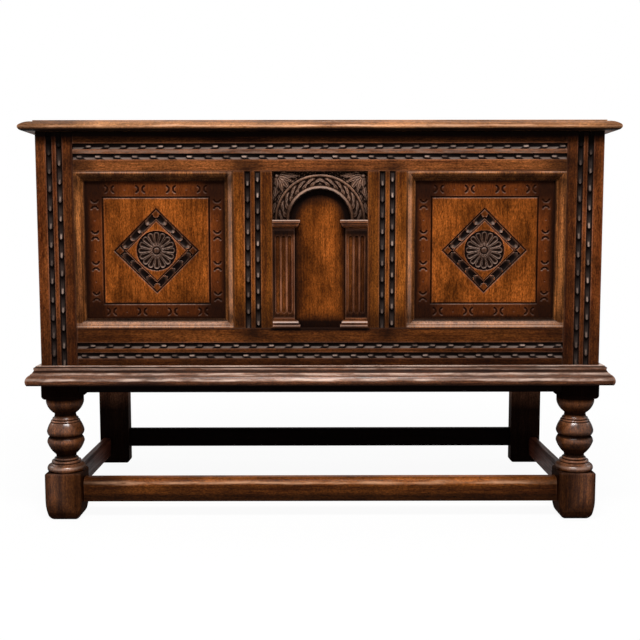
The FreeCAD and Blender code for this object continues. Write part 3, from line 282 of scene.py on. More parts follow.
def oak(name, grain, tones, gloss=0.36, polish=0.0, dirt_and_shade_reach=0.035, wear_and_highlight=0.6, top_highlight=0.0, curl=0.8,
        open_grain=1.0, contrast=1.0, blotch=1.0, shine=WOOD_SHINE, bare_and_highlight=WORN_AND_HIGHLIGHT, shades=(), wear_and_highlights=()):
    """Old polished oak: figure, streaks, open pores, dirt and painted shade in the corners, and wear and
    painted highlights on the edges.

    gloss is the roughness of its polish and polish the strength of it where neither dirt nor painted shade
    lies; top_highlight is the painted highlight on the faces turned up; curl bends the figure, contrast
    parts its two tones, blotch deepens the broad patches and open_grain the pores; shine is what the wood
    reflects without polish; shades add painted shade and darker patches by place, and wear_and_highlights
    add wear and painted highlights towards the pale bare_and_highlight colour. A mesh may carry paint of
    its own: red for dirt and painted shade, green for the border's stain and blue for wear and painted
    highlights.
    """
    material, shading = new_material(name)
    pale, deep = tones
    layers = (STREAKS, PORES, CLOUDS, FLECKS)
    streaks, pores, clouds, flecks = [grain_noise(shading, grain, layer) for layer in layers]
    half = TONE_HALF / contrast
    tone = shading.spread(oak_tone(shading, grain, curl, streaks), 0.5 - half, 0.5 + half)
    colour = shading.mix(tone, rgba(deep), rgba(pale))
    open_pores = shading.spread(pores, 0.36, 0.50, 1.0 - 0.5 * open_grain, 1.0)
    patches = shading.spread(clouds, 0.33, 0.64, 1.0 - 0.5 * blotch, 1.0 + 0.22 * blotch)
    flecked = shading.spread(flecks, 0.36, 0.64, 1.0 - 0.4 * open_grain, 1.0 + 0.4 * open_grain)
    for layer in (open_pores, patches, flecked):
        colour = shading.mix(1.0, colour, layer, "MULTIPLY")

    paint = shading.add("Attribute", {}, attribute_name="tone").outputs["Color"]
    painted = shading.add("SeparateColor", {"Color": paint}).outputs
    stained = shading.mix(1.0, rgba(BORDER), open_pores, "MULTIPLY")
    colour = shading.mix(painted["Green"], colour, stained)
    # Wear and painted highlights: the sharp edges, the faces turned up and the marks by place are painted
    # pale.
    pale_edge = [min(1.0, 1.6 * part + 0.06) for part in pale]
    colour = shading.mix(edge_wear_and_highlight(shading, clouds, wear_and_highlight), colour, rgba(pale_edge))
    worn_and_lit = shading.most(upward_highlight(shading, streaks, top_highlight), painted["Blue"],
                          *[bright_mark(shading) for bright_mark in wear_and_highlights])
    colour = shading.mix(worn_and_lit, colour, rgba(bare_and_highlight))
    # Dirt and painted shade: dark in the corners, where the mesh is painted so, and by place.
    corner_dirt_and_shade = shading.spread(shading.occlusion(dirt_and_shade_reach), 0.25, 0.92, 0.97, 0.0)
    dirt_and_shade = shading.most(corner_dirt_and_shade, painted["Red"], *[shade(shading) for shade in shades])
    colour = shading.mix(dirt_and_shade, colour, rgba(DIRT_AND_SHADE))

    rough = shading.spread(streaks, 0.35, 0.65, gloss + 0.10, gloss - 0.05)
    rough = shading.math("ADD", rough, shading.times(dirt_and_shade, DIRT_AND_SHADE_DULL), clamp=True)
    height = shading.times(shading.math("ADD", streaks, pores), 0.5)
    wood = shading.surface(colour, rough, height, 0.4, GRAIN_RELIEF)
    wood.inputs["Specular IOR Level"].default_value = shine
    if polish:
        clean_and_unshaded = shading.minus(1.0, dirt_and_shade)
        polished = shading.times(shading.times(clean_and_unshaded, clean_and_unshaded), polish)
        shading.tree.links.new(polished, wood.inputs["Coat Weight"])
        wood.inputs["Coat Roughness"].default_value = gloss
    return material


def fade(axis, start, end, share):
    """A share, mostly of painted shade, that grows from nothing at start to share at end; along X both are
    counted from the middle.
    """
    def shade(shading):
        value = shading.aside() if axis == "X" else shading.place()["XYZ".index(axis)]
        return shading.spread(value, start, end, 0.0, share)
    return shade


def stripe(low, high, share, soft=0.0008, ragged=0.0):
    """A band between two heights, for painted shade and for wear with painted highlights; ragged is how far
    its edges wander.
    """
    def shade(shading):
        height = shading.place()[2]
        if ragged:
            wander = grain_noise(shading, "X", WANDER)
            height = shading.math("ADD", height, shading.spread(wander, 0.3, 0.7, -ragged, ragged))
        inner = shading.spread(height, low - soft, low + soft, 0.0, share)
        outer = shading.spread(height, high - soft, high + soft, 1.0, 0.0)
        band = shading.times(inner, outer)
        if ragged:
            patches = grain_noise(shading, "X", PATCHES)
            band = shading.times(band, shading.spread(patches, 0.41, 0.57, 0.30, 1.15))
        return band
    return shade


def smudge(across, height, reach, share):
    """A dark patch on each side of the middle."""
    def shade(shading):
        side = shading.minus(shading.aside(), across)
        level = shading.minus(shading.place()[2], height)
        return shading.spread(shading.length(side, level), 0.0, reach, share, 0.0)
    return shade


def turned(axis, start, end, share):
    """Painted shade on the faces turned along an axis, from nothing where they turn start to share at end."""
    def shade(shading):
        return shading.spread(shading.facing(axis), start, end, 0.0, share)
    return shade


def both(first, second):
    """A shade only where both of two shades lie, for painted shade and painted highlights alike."""
    def shade(shading):
        return shading.times(first(shading), second(shading))
    return shade


def round_panel(shading):
    """The shadows of a panel moulding, by the distance out from the panel.

    They lie on its inner slope and along its outer edges, over its upper side and inside its lower one.
    """
    half_wide, half_tall = PANEL_HALF
    aside, height = shading.aside(), shading.place()[2]
    inward = shading.minus(BAY_MIDDLE - half_wide, aside)
    outward = shading.minus(aside, BAY_MIDDLE + half_wide)
    across = shading.most(inward, outward)
    above = shading.minus(height, PANEL_MIDDLE + half_tall)
    below = shading.minus(PANEL_MIDDLE - half_tall, height)
    slope = shading.spread(shading.most(across, above, below), *SLOPE_SHADE, 0.85, 0.0)
    inner_edge = shading.spread(inward, *INNER_EDGE_SHADE, 0.0, 0.75)
    outer_edge = shading.spread(outward, *OUTER_EDGE_SHADE, 0.0, 0.60)
    is_top = shading.spread(shading.minus(above, across), -MITRE_SOFT, MITRE_SOFT)
    roof = shading.times(is_top, shading.spread(above, *ROOF_SHADE, 0.72, 0.0))
    is_sill = shading.spread(shading.minus(below, across), -MITRE_SOFT, MITRE_SOFT)
    sill = shading.times(is_sill, shading.spread(below, *SILL_SHADE, 0.92, 0.0))
    return shading.most(slope, inner_edge, outer_edge, roof, sill)


def niche_edges(shading):
    """Painted shade round the middle panel, under the arch and beside the pilasters."""
    across, _, height = shading.place()
    over = shading.most(shading.minus(height, ARCH_HEIGHT * MM), 0.0)
    return shading.spread(shading.length(across, over), *NICHE_RIM, 0.0, 0.98)


def metal(name, colour, stain, gloss):
    """Aged metal: brushed, stained in patches, and dark in its corners with dirt and painted shade."""
    material, shading = new_material(name)
    brushed = grain_noise(shading, "X", BRUSHED)
    tarnish = grain_noise(shading, "X", TARNISH)
    tint = shading.mix(shading.spread(tarnish, 0.42, 0.62), rgba(colour), rgba(stain))
    # Dirt and painted shade in the corners.
    dirt_and_shade = shading.spread(shading.occlusion(0.004), 0.35, 0.85, 0.85, 0.0)
    tint = shading.mix(dirt_and_shade, tint, rgba(DIRT_AND_SHADE))
    rough = shading.spread(tarnish, 0.35, 0.65, gloss, gloss + 0.25)
    surface = shading.surface(tint, rough, brushed, 0.2, BRUSH_RELIEF)
    surface.inputs["Metallic"].default_value = 1.0
    return material


def add_object(name, data):
    thing = bpy.data.objects.new(name, data)
    scene.collection.objects.link(thing)
    return thing


def add_camera():
    data = bpy.data.cameras.new("camera")
    data.lens = CAMERA_LENS
    data.sensor_width = SENSOR_WIDTH
    data.sensor_fit = "HORIZONTAL"
    camera = add_object("camera", data)
    camera.location = CAMERA_PLACE
    camera.rotation_euler = [math.radians(angle) for angle in CAMERA_TURN_DEG]
    scene.camera = camera


def seen_rays(shading):
    """1 for rays from the camera, from a shiny surface or through glass, 0 for light bouncing about."""
    path = shading.add("LightPath", {})
    return shading.most(path.outputs["Is Camera Ray"], path.outputs["Is Transmission Ray"],
                        path.outputs["Is Glossy Ray"])


def add_world():
    world = bpy.data.worlds.new("studio")
    scene.world = world
    world.use_nodes = True
    shading = Shading(world.node_tree)
    level = shading.spread(seen_rays(shading), 0.0, 1.0, WORLD_LIGHT, 1.0)
    white = shading.add("Background", {"Color": rgba(WHITE), "Strength": level})
    shading.add("OutputWorld", {"Surface": white.outputs["Background"]})


def floor_material():
    """A pale floor that shows the chest's soft shadow and runs out to white round it."""
    material, shading = new_material("pale_floor")
    spot = shading.add("TexCoord", {}).outputs["Object"]
    away = shading.add("VectorMath", {0: spot}, operation="LENGTH").outputs["Value"]
    glow = shading.times(seen_rays(shading), shading.spread(away, *FLOOR_FADE, FLOOR_GLOW, 1.0))
    pale = shading.add("BsdfDiffuse", {"Color": rgba(FLOOR_COLOUR)}).outputs["BSDF"]
    white = shading.add("Emission", {"Color": rgba(WHITE), "Strength": 1.0}).outputs["Emission"]
    blend = shading.add("MixShader", {0: glow, 1: pale, 2: white})
    shading.add("OutputMaterial", {"Surface": blend.outputs["Shader"]})
    return material


def add_floor():
    mesh = bpy.data.meshes.new("floor")
    half = FLOOR_HALF
    corners = [(-half, -half, 0), (half, -half, 0), (half, half, 0), (-half, half, 0)]
    mesh.from_pydata(corners, [], [(0, 1, 2, 3)])
    mesh.materials.append(floor_material())
    floor = add_object("floor", mesh)


def add_lamp(name, place, aim, watts, wide, tall):
    data = bpy.data.lights.new(name, "AREA")
    data.shape = "RECTANGLE"
    data.size = wide
    data.size_y = tall
    data.energy = watts
    lamp = add_object(name, data)
    lamp.location = place
    lamp.rotation_euler = (Vector(aim) - Vector(place)).to_track_quat("-Z", "Y").to_euler()


def carved_mesh(name, front, back_y, dirt_and_shade, wear_and_highlight, stain=0.0, cut=None):
    """A closed piece from a grid of front points (rows up, columns to the right), flat behind.

    The points are in millimetres and painted for dirt and painted shade, for stain, and for wear and
    painted highlights. cut marks the ones that are carved: the squares between them take the second
    material.
    """
    rows, columns = front.shape[:2]
    index = np.arange(rows * columns).reshape(rows, columns)
    quads = np.stack([index[:-1, :-1], index[:-1, 1:], index[1:, 1:], index[1:, :-1]], axis=-1).reshape(-1, 4)
    rim = np.concatenate([index[0, :-1], index[:-1, -1], index[-1, :0:-1], index[:0:-1, 0]])
    points = front.reshape(-1, 3)
    behind = points[rim].copy()
    behind[:, 1] = back_y
    far = len(points) + np.arange(len(rim))
    walls = np.stack([rim, far, np.roll(far, -1), np.roll(rim, -1)], axis=-1)
    faces = quads.tolist() + walls.tolist() + [far[::-1].tolist()]

    mesh = bpy.data.meshes.new(name)
    mesh.from_pydata((np.concatenate([points, behind]) * MM).tolist(), [], faces)
    colours = np.zeros((len(points) + len(behind), 4), np.float32)
    for channel, paint in enumerate((dirt_and_shade, stain, wear_and_highlight)):
        colours[:len(points), channel] = np.ravel(paint)
    mesh.attributes.new("tone", "FLOAT_COLOR", "POINT").data.foreach_set("color", colours.ravel())
    mesh.shade_smooth()
    mesh.set_sharp_from_angle(angle=math.radians(CARVED_CREASE_DEG))
    if cut is not None:
        carved = np.zeros(len(faces), np.int32)
        carved[:len(quads)] = cut.reshape(-1)[quads].mean(axis=1) > 0.5
        mesh.polygons.foreach_set("material_index", carved)
    return mesh


def add_piece(mesh, materials, slot, *replaced):
    for material in materials:
        mesh.materials.append(material)
    piece = add_object(mesh.name, mesh)
    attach(piece, "chest")
    if replaced:
        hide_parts(*replaced)


def steps(start, end, cell=CELL):
    return np.linspace(start, end, max(2, int(round(abs(end - start) / cell)) + 1))


def smooth(low, high, value):
    """0 below low, 1 above high and an easy rise between them."""
    share = np.clip((value - low) / (high - low), 0.0, 1.0)
    return share * share * (3.0 - 2.0 * share)


def groove(away, half_width, depth):
    """A V-shaped cut: depth on its line, nothing beyond half_width away from it."""
    return depth * np.clip(1.0 - away / half_width, 0.0, 1.0)


def hollow(away, half_width, depth):
    """A round-bottomed cut."""
    return depth * np.sqrt(np.clip(1.0 - (away / half_width) ** 2, 0.0, 1.0))


def luck(index):
    """A fixed chance number from 0 to 1 for each whole number."""
    return np.mod(np.sin(index * 12.9898) * 43758.5453, 1.0)


def thumb_cuts(along, across, period, start, depth, bow):
    """Overlapping gouge cuts in a row: deep after each stop, rising to a pointed, worn tongue.

    along rises in the direction in which the tongues point; across runs from -1 to 1.
    Gives the depth, the share of its cut each spot has passed and how far it lies on a tip that is
    painted worn and lit.
    """
    turns = (along - start + bow * np.abs(across) ** 1.5) / period
    share = np.mod(turns, 1.0)
    floor = depth * (1.0 - share ** 2.2) * np.sqrt(np.clip(1.0 - 0.92 * across ** 2, 0.0, 1.0))
    chance = luck(np.floor(turns))
    from_end = share + 0.10 * (chance - 0.5)
    tip = smooth(0.62, 0.76, from_end) * (1.0 - smooth(0.93, 0.98, from_end))
    tip *= 1.0 - smooth(0.16, 0.46, np.abs(across))
    return floor, share, tip * (0.40 + 0.60 * luck(np.floor(turns) + 7.0))


# Rows of gouge cuts: a cut's depth and bow, how far a row lies below the frame's face, half the width of
# its channel, the cells of its mesh and how strongly its tips are painted worn and lit, on the rails and
# in each upright pair.
CUT_DEPTH = 4.6
CUT_BOW = 6.0
ROW_SINK = 0.3
CHANNEL_HALF = 5.75
ROW_CELL = 1.15
ROW_CROSS_CELL = 0.8
RAIL_TIP_WEAR_AND_HIGHLIGHT = 0.46
PAIR_TIP_WEAR_AND_HIGHLIGHT = (0.17, 0.40)

# Rows along the rails: name, height, the place where a cut ends and the way the tongues point.
RAIL_ROWS = (("top_rail_upper", 775.25, -462.3, 1), ("top_rail_lower", 754.75, -455.1, -1),
             ("bottom_rail_upper", 370.0, -462.3, 1), ("bottom_rail_lower", 349.5, -455.1, -1))
RAIL_RUN = (-500, 500)
RAIL_PERIOD = 36.9

# Upright rows: the piece they lie in, their ends, the length of a cut, and for each row its middle and
# the height at which a cut ends.
UPRIGHT_ROWS = (
    ("stile", (327, 805), 37.3, ((-547.75, 757.0), (-527.25, 736.0), (527.25, 736.0), (547.75, 757.0))),
    ("muntin", (406.5, 725), 32.5, ((-147.0, 435.0), (-126.75, 411.0), (126.75, 435.0), (147.0, 411.0))),
)


def gouge_row(name, material, lengthways, middle, run, period, start, way, tip_wear_and_highlight=RAIL_TIP_WEAR_AND_HIGHLIGHT):
    """One row of gouge cuts laid in a channel; lengthways is X or Z and way is the side the tongues point."""
    lengths = steps(*run, ROW_CELL)
    widths = steps(-CHANNEL_HALF, CHANNEL_HALF, ROW_CROSS_CELL)
    if lengthways == "X":
        xs, zs = np.meshgrid(lengths, middle + widths)
        along, across = xs, (zs - middle) / CHANNEL_HALF
    else:
        xs, zs = np.meshgrid(middle + widths, lengths)
        along, across = zs, (xs - middle) / CHANNEL_HALF
    depth, share, tip = thumb_cuts(way * along, across, period, way * start, CUT_DEPTH, CUT_BOW)
    ys = FRAME_FACE + ROW_SINK + np.minimum(depth, CUT_DEPTH)
    # Painted light and shade in the cuts: a row along X is painted lit on the lower half of its channel, with
    # a painted glint there, and an upright row is painted lit towards each tip; the rest is painted in shade,
    # and the tips are painted worn and lit.
    if lengthways == "X":
        lit = (1.0 - smooth(-0.50, -0.10, across)) * (1.0 - smooth(0.60, 0.70, share))
        glint = 0.10 * lit
    else:
        lit = 0.38 * smooth(0.10, 0.55, share) * (1.0 - smooth(0.45, 0.80, np.abs(across)))
        glint = 0.0
    dirt_and_shade = 0.95 * (1.0 - tip) * (1.0 - lit)
    wear_and_highlight = np.maximum(tip_wear_and_highlight * tip, glint)
    mesh = carved_mesh(name, np.stack([xs, ys, zs], axis=-1), CHANNEL_FLOOR + ROW_SINK, dirt_and_shade, wear_and_highlight)
    add_piece(mesh, [material], "oak_polished")


def add_gouge_rows(carved_x, carved_z):
    for name, height, start, way in RAIL_ROWS:
        gouge_row("carving_" + name, carved_x, "X", height, RAIL_RUN, RAIL_PERIOD, start, way)
    for post, run, period, rows in UPRIGHT_ROWS:
        for number, (middle, start) in enumerate(rows):
            name = "carving_%s_row_%d" % (post, number + 1)
            gouge_row(name, carved_z, "Z", middle, run, period, start, -1, PAIR_TIP_WEAR_AND_HIGHLIGHT[number % 2])


# The carved side panels, in millimetres: where the carving's middle lies, and sizes from that middle. The
# lozenge's cuts have a step, a start, a depth and a bow. It has plain points beyond LOZENGE_POINT along
# its sides and counts as cut below BAND_START.
CARVED_PANELS = (("front_panel_left", -336.5, 564.5), ("front_panel_right", 338.0, 564.5))
SQUARE_HALF = 109.0
LOZENGE_OUTER = 59.5
LOZENGE_INNER = 45.0
LOZENGE_CUTS = (22.5, 0.0, 4.2, 5.0)
LOZENGE_POINT = LOZENGE_INNER + 2.0
BAND_START = 0.2

# V-cut lines: half their width and their depth; how far the lozenge's lines lie outside its band.
SQUARE_LINE = (2.4, 3.0)
OUTER_LINE = (2.2, 3.0)
INNER_LINE = (1.7, 2.2)
LINE_GAP = 1.0

# The rosette: its ground, its petals, the heart they grow from and the button in the heart.
ROSETTE_GROUND = 41.0
PETALS = 16
PETAL_END = 32.1
PETAL_ROUND = 6.4
PETAL_DEPTH = 3.6
PETAL_CUT_DEPTH = 2.6
HEART_RADIUS = 9.0
HEART_RING = 8.0
HEART_RING_DEPTH = 2.4
BUTTON_RADIUS = 6.0
BUTTON_RISE = 1.6

# The border: where its pairs of crescents and the dots between them lie, and the cuts that make them.
BORDER_LINE = 125.5
BORDER_STOPS = (-94.5, -31.5, 31.5, 94.5)
BORDER_DOTS = (-63.0, 0.0, 63.0)
CRESCENT_RADIUS = 6.6
CRESCENT_GAP = 4.2
CRESCENT_CUT = (2.3, 2.8)
DOT_CUT = (2.2, 1.0)

# Where the panel is painted darker: painted shade to its sides and up, and darker down, just under the
# square and in the border's corners.
SIDE_SHADE = (122.0, 142.0)
LOW_DARK = (122.0, 141.0)
HIGH_SHADE = (130.0, 146.0)
UNDER_SQUARE_DARK = (108.0, 114.0)
CORNER_DARK = (45.0, 118.0)


def crescents(along, across):
    """The border's pairs of half-round gouge cuts on one side of the square, set back to back."""
    depth = np.zeros_like(along)
    for stop in BORDER_STOPS:
        for way in (-1, 1):
            out = way * (along - stop) - CRESCENT_GAP - CRESCENT_RADIUS
            ring = np.abs(np.hypot(out, across) - CRESCENT_RADIUS)
            near = smooth(-0.5, 2.5, -out)
            depth = np.maximum(depth, near * hollow(ring, *CRESCENT_CUT))
    for stop in BORDER_DOTS:
        depth = np.maximum(depth, hollow(np.hypot(along - stop, across), *DOT_CUT))
    return depth


def rosette(right, up):
    """Sixteen scooped petals, parted by sharp cuts, round a ringed button.

    Gives the depth below the panel's face and how far each spot lies in a cut.
    """
    radius = np.hypot(right, up)
    angle = np.mod(np.arctan2(up, right) + math.pi / PETALS, 2 * math.pi / PETALS) - math.pi / PETALS
    out, aside = radius * np.cos(angle), radius * np.sin(angle)
    stem = np.abs(aside) / np.maximum(out * math.tan(math.pi / PETALS), 0.5)
    end = np.hypot(np.maximum(out - PETAL_END, 0.0), aside) / PETAL_ROUND
    reach = np.where(out < PETAL_END, stem, end)
    petal = PETAL_DEPTH * np.clip(1.0 - (reach / 0.78) ** 2, 0.0, 1.0)
    petal *= smooth(HEART_RADIUS - 1.0, HEART_RADIUS + 12.0, radius)
    parted = smooth(0.80, 0.97, reach)
    depth = np.maximum(petal, PETAL_CUT_DEPTH * parted)
    ring = smooth(BUTTON_RADIUS - 0.5, BUTTON_RADIUS + 0.7, radius)
    ring *= 1.0 - smooth(HEART_RING, HEART_RADIUS, radius)
    heart = HEART_RING_DEPTH * ring - hollow(radius, BUTTON_RADIUS, BUTTON_RISE)
    in_heart = radius < HEART_RADIUS
    depth, parted = np.where(in_heart, heart, depth), np.where(in_heart, ring, parted)
    in_flower = radius < ROSETTE_GROUND
    return np.where(in_flower, depth, 0.0), np.where(in_flower, parted, 0.0)


def lozenge(right, up):
    """The band round the rosette, four gouge cuts to a side, with plain squares at its points."""
    depth = np.zeros_like(right)
    tip = np.zeros_like(right)
    middle = 0.5 * (LOZENGE_OUTER + LOZENGE_INNER)
    half = 0.5 * (LOZENGE_OUTER - LOZENGE_INNER) - 0.6
    for side in (-1, 1):
        for level in (-1, 1):
            along = (level * up - side * right) / math.sqrt(2.0)
            across = (level * up + side * right) / math.sqrt(2.0)
            spot = (across - middle) / half
            inside = (np.abs(spot) < 1.0) & (np.abs(along) < LOZENGE_POINT)
            cut, _, cut_tip = thumb_cuts(-along, np.clip(spot, -1, 1), *LOZENGE_CUTS)
            depth = np.where(inside, cut, depth)
            tip = np.where(inside, cut_tip * (1.0 if level > 0 else 0.15), tip)
    return depth, tip


def panel_lines(right, up):
    """The square line and the two outlines of the lozenge, and marks for the squares at its points."""
    reach = np.maximum(np.abs(right), np.abs(up))
    diagonal = (np.abs(right) + np.abs(up)) / math.sqrt(2.0)
    lines = np.maximum.reduce([groove(np.abs(reach - SQUARE_HALF), *SQUARE_LINE),
                               groove(np.abs(diagonal - LOZENGE_OUTER - LINE_GAP), *OUTER_LINE),
                               groove(np.abs(diagonal - LOZENGE_INNER + LINE_GAP), *INNER_LINE)])
    along = np.minimum(np.abs(right - up), np.abs(right + up)) / math.sqrt(2.0)
    return lines, (along > LOZENGE_POINT) & (diagonal < LOZENGE_OUTER)


def panel_rim(right, up, outside):
    """Painted shade towards the panel's sides and top; darker towards its bottom, just under the square and
    in the corners of its border.
    """
    along_side = np.minimum(np.abs(right), np.abs(up))
    return np.maximum.reduce([smooth(*SIDE_SHADE, np.abs(right)), smooth(*LOW_DARK, -up),
                              0.75 * smooth(*HIGH_SHADE, up), 0.45 * smooth(*UNDER_SQUARE_DARK, -up),
                              0.95 * outside * smooth(*CORNER_DARK, along_side)])


def add_carved_panel(node, middle_x, middle_z, plain, carved):
    """A side panel with its square, lozenge, rosette and border, in place of the plain CAD panel."""
    low, high = [np.array(corner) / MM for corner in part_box(node)]
    xs, zs = np.meshgrid(steps(low[0], high[0]), steps(low[2], high[2]))
    right, up = xs - middle_x, zs - middle_z
    arcs = np.maximum(crescents(up, np.abs(right) - BORDER_LINE), crescents(right, np.abs(up) - BORDER_LINE))
    lines, points = panel_lines(right, up)
    band, tip = lozenge(right, up)
    flower, parted = rosette(right, up)
    depth = np.maximum.reduce([arcs, lines, band]) + flower

    radius = np.hypot(right, up)
    in_flower = radius < ROSETTE_GROUND
    # Painted shade in the lines, crescents, lozenge cuts and petal hollows, in the partings between petals
    # and towards the panel's edges. The lozenge's tips, most on its upper sides, and the petals' rims, most
    # on the lower petals, are painted worn and lit.
    hollows = np.where(band > BAND_START, 0.50 + 0.47 * smooth(0.8, 3.0, band), 0.0) * (1.0 - tip)
    deep_petals = smooth(1.2, 3.2, flower) * in_flower
    petal_rims = (1.0 - smooth(0.3, 1.2, flower)) * (1.0 - parted) * in_flower * (radius > HEART_RADIUS)
    outside = smooth(SQUARE_HALF - 1.0, SQUARE_HALF + 1.5, np.maximum(np.abs(right), np.abs(up)))
    dirt_and_shade = np.maximum.reduce([
        0.95 * smooth(0.3, 1.4, lines), 0.85 * smooth(0.3, 1.8, arcs), hollows, 0.97 * parted,
        0.90 * deep_petals, 0.92 * panel_rim(right, up, outside), 0.45 * points])
    wear_and_highlight = np.maximum(0.30 * tip * (band > 0.0), petal_rims * (0.03 + 0.26 * smooth(3.0, 30.0, -up)))
    front = np.stack([xs, low[1] + np.maximum(depth, -BUTTON_RISE), zs], axis=-1)
    cut = (band > BAND_START) | in_flower
    mesh = carved_mesh("carved_" + node, front, high[1], dirt_and_shade, wear_and_highlight, 0.75 * outside, cut)
    add_piece(mesh, [plain, carved], "oak_panel", node)


# The arch over the middle panel: its centre's height, its radii from the opening outwards, the plane
# behind its ground, and the points along and out of its grid.
ARCH_HEIGHT = 627.0
ARCH_INNER = 62.0
BAND_INNER = 69.0
BAND_OUTER = 87.0
ARCH_OUTER = 93.0
ARCH_BACK = -250.0
ARCH_POINTS = 301
CORNER_POINTS = 42
BEAD_CELL = 0.7
BAND_CELL = 0.8

# How far the parts of the arch stand out; each bead's radius, half width and foot; the length of a
# scallop in the edge of the painted shadow under the inner bead.
GROUND = 7.0
LEAF_RISE = 5.5
CORNER_RISE = 4.5
INNER_BEAD = (65.5, 3.5, 9.5)
OUTER_BEAD = (90.0, 3.0, 8.0)
BEAD_RISE = 4.5
SCALLOP = 14.0

# Leaves: their step and lean along the arch; in the corners, where they spread from a bud or lie beside
# the arch, their directions, places, length and half width.
LEAF_PERIOD = 19.0
LEAF_LEAN = 1.15
BUD_PLACE = (9.0, 8.0)
BUD_RADIUS = 5.0
CORNER_LEAVES_DEG = (-3, 21, 45, 69, 93)
CORNER_LEAF = (46.0, 5.2)
SIDE_LEAVES = ((91.0, 66.0, -84), (84.0, 50.0, -104), (70.0, 88.0, 172), (92.0, 34.0, -80))
SIDE_LEAF = (30.0, 4.5)


def leaf(along, across, length, half_width):
    """A pointed leaf from 0 to length, hollowed each side of a raised vein: its height as a share."""
    share = np.clip(along / length, 0.0, 1.0)
    width = half_width * np.sqrt(share) * (1.0 - share) * 2.6 + 0.01
    reach = np.abs(across) / width
    inside = (along > 0.0) & (along < length) & (reach < 1.0)
    return np.where(inside, 0.45 + 0.55 * np.abs(2.0 * reach - 1.0), 0.0)


def arch_leaves(radius, turn):
    """Curled leaves lying one on another along the arch, leaning to its crown: their height as a share."""
    middle = 0.5 * (BAND_INNER + BAND_OUTER)
    half = 0.5 * (BAND_OUTER - BAND_INNER)
    out = np.clip((radius - middle) / half, -1.0, 1.0)
    from_crown = np.abs(math.pi / 2 - turn) * middle
    lean = LEAF_LEAN * half * (out + 0.35 * np.sin(math.pi * out))
    lobes = 1.1 * np.sin(0.66 * from_crown + 2.6 * out)
    share = np.mod((from_crown + lean + lobes) / LEAF_PERIOD, 1.0)
    swell = np.sin(math.pi * np.clip(share / 0.72, 0.0, 1.0)) ** 0.7
    vein = 0.45 * np.exp(-((share - 0.40) / 0.08) ** 2)
    return (swell - vein) * (1.0 - 0.75 * np.abs(out) ** 3)


def turn_to(right, up, angle_deg):
    """Distances along and across a direction."""
    angle = math.radians(angle_deg)
    along = right * math.cos(angle) + up * math.sin(angle)
    return along, -right * math.sin(angle) + up * math.cos(angle)


def corner_leaves(aside, height, half_width, rise):
    """Leaves spreading from each upper corner over the ground beside the arch, round a small bud."""
    lift = np.zeros_like(aside)
    right, up = half_width - aside - BUD_PLACE[0], rise - height - BUD_PLACE[1]
    for angle_deg in CORNER_LEAVES_DEG:
        along, across = turn_to(right, up, angle_deg)
        along = along - BUD_RADIUS
        across = across + 2.0 * np.sin(0.12 * along)
        length, half = CORNER_LEAF
        lift = np.maximum(lift, leaf(along, across, length - 0.5 * abs(angle_deg - 45), half))
    for start_x, start_z, angle_deg in SIDE_LEAVES:
        along, across = turn_to(aside - start_x, height - start_z, angle_deg)
        lift = np.maximum(lift, leaf(along, across + 1.5 * np.sin(0.2 * along), *SIDE_LEAF))
    return np.maximum(lift, hollow(np.hypot(right, up), BUD_RADIUS, 1.0))


def arch_grid(half_width, rise):
    """The grid of the arch head: rings out to its outer bead, then rows that draw out to its square edge."""
    turns = np.radians(np.linspace(180.0, 0.0, ARCH_POINTS))
    edge = np.minimum(half_width / np.maximum(np.abs(np.cos(turns)), 1e-6),
                      rise / np.maximum(np.sin(turns), 1e-6))
    radii = np.concatenate([steps(ARCH_INNER, BAND_INNER, BEAD_CELL),
                            steps(BAND_INNER, BAND_OUTER, BAND_CELL)[1:],
                            steps(BAND_OUTER, ARCH_OUTER, BEAD_CELL)[1:]])
    rows = [np.full_like(turns, radius) for radius in radii]
    rows += [ARCH_OUTER + (edge - ARCH_OUTER) * share for share in np.linspace(0.0, 1.0, CORNER_POINTS)[1:]]
    radius = np.array(rows)
    return radius, np.broadcast_to(turns, radius.shape)


def bead(radius, shape):
    """How far a bead of the arch stands out."""
    middle, half_width, foot = shape
    return foot + hollow(np.abs(radius - middle), half_width, BEAD_RISE)


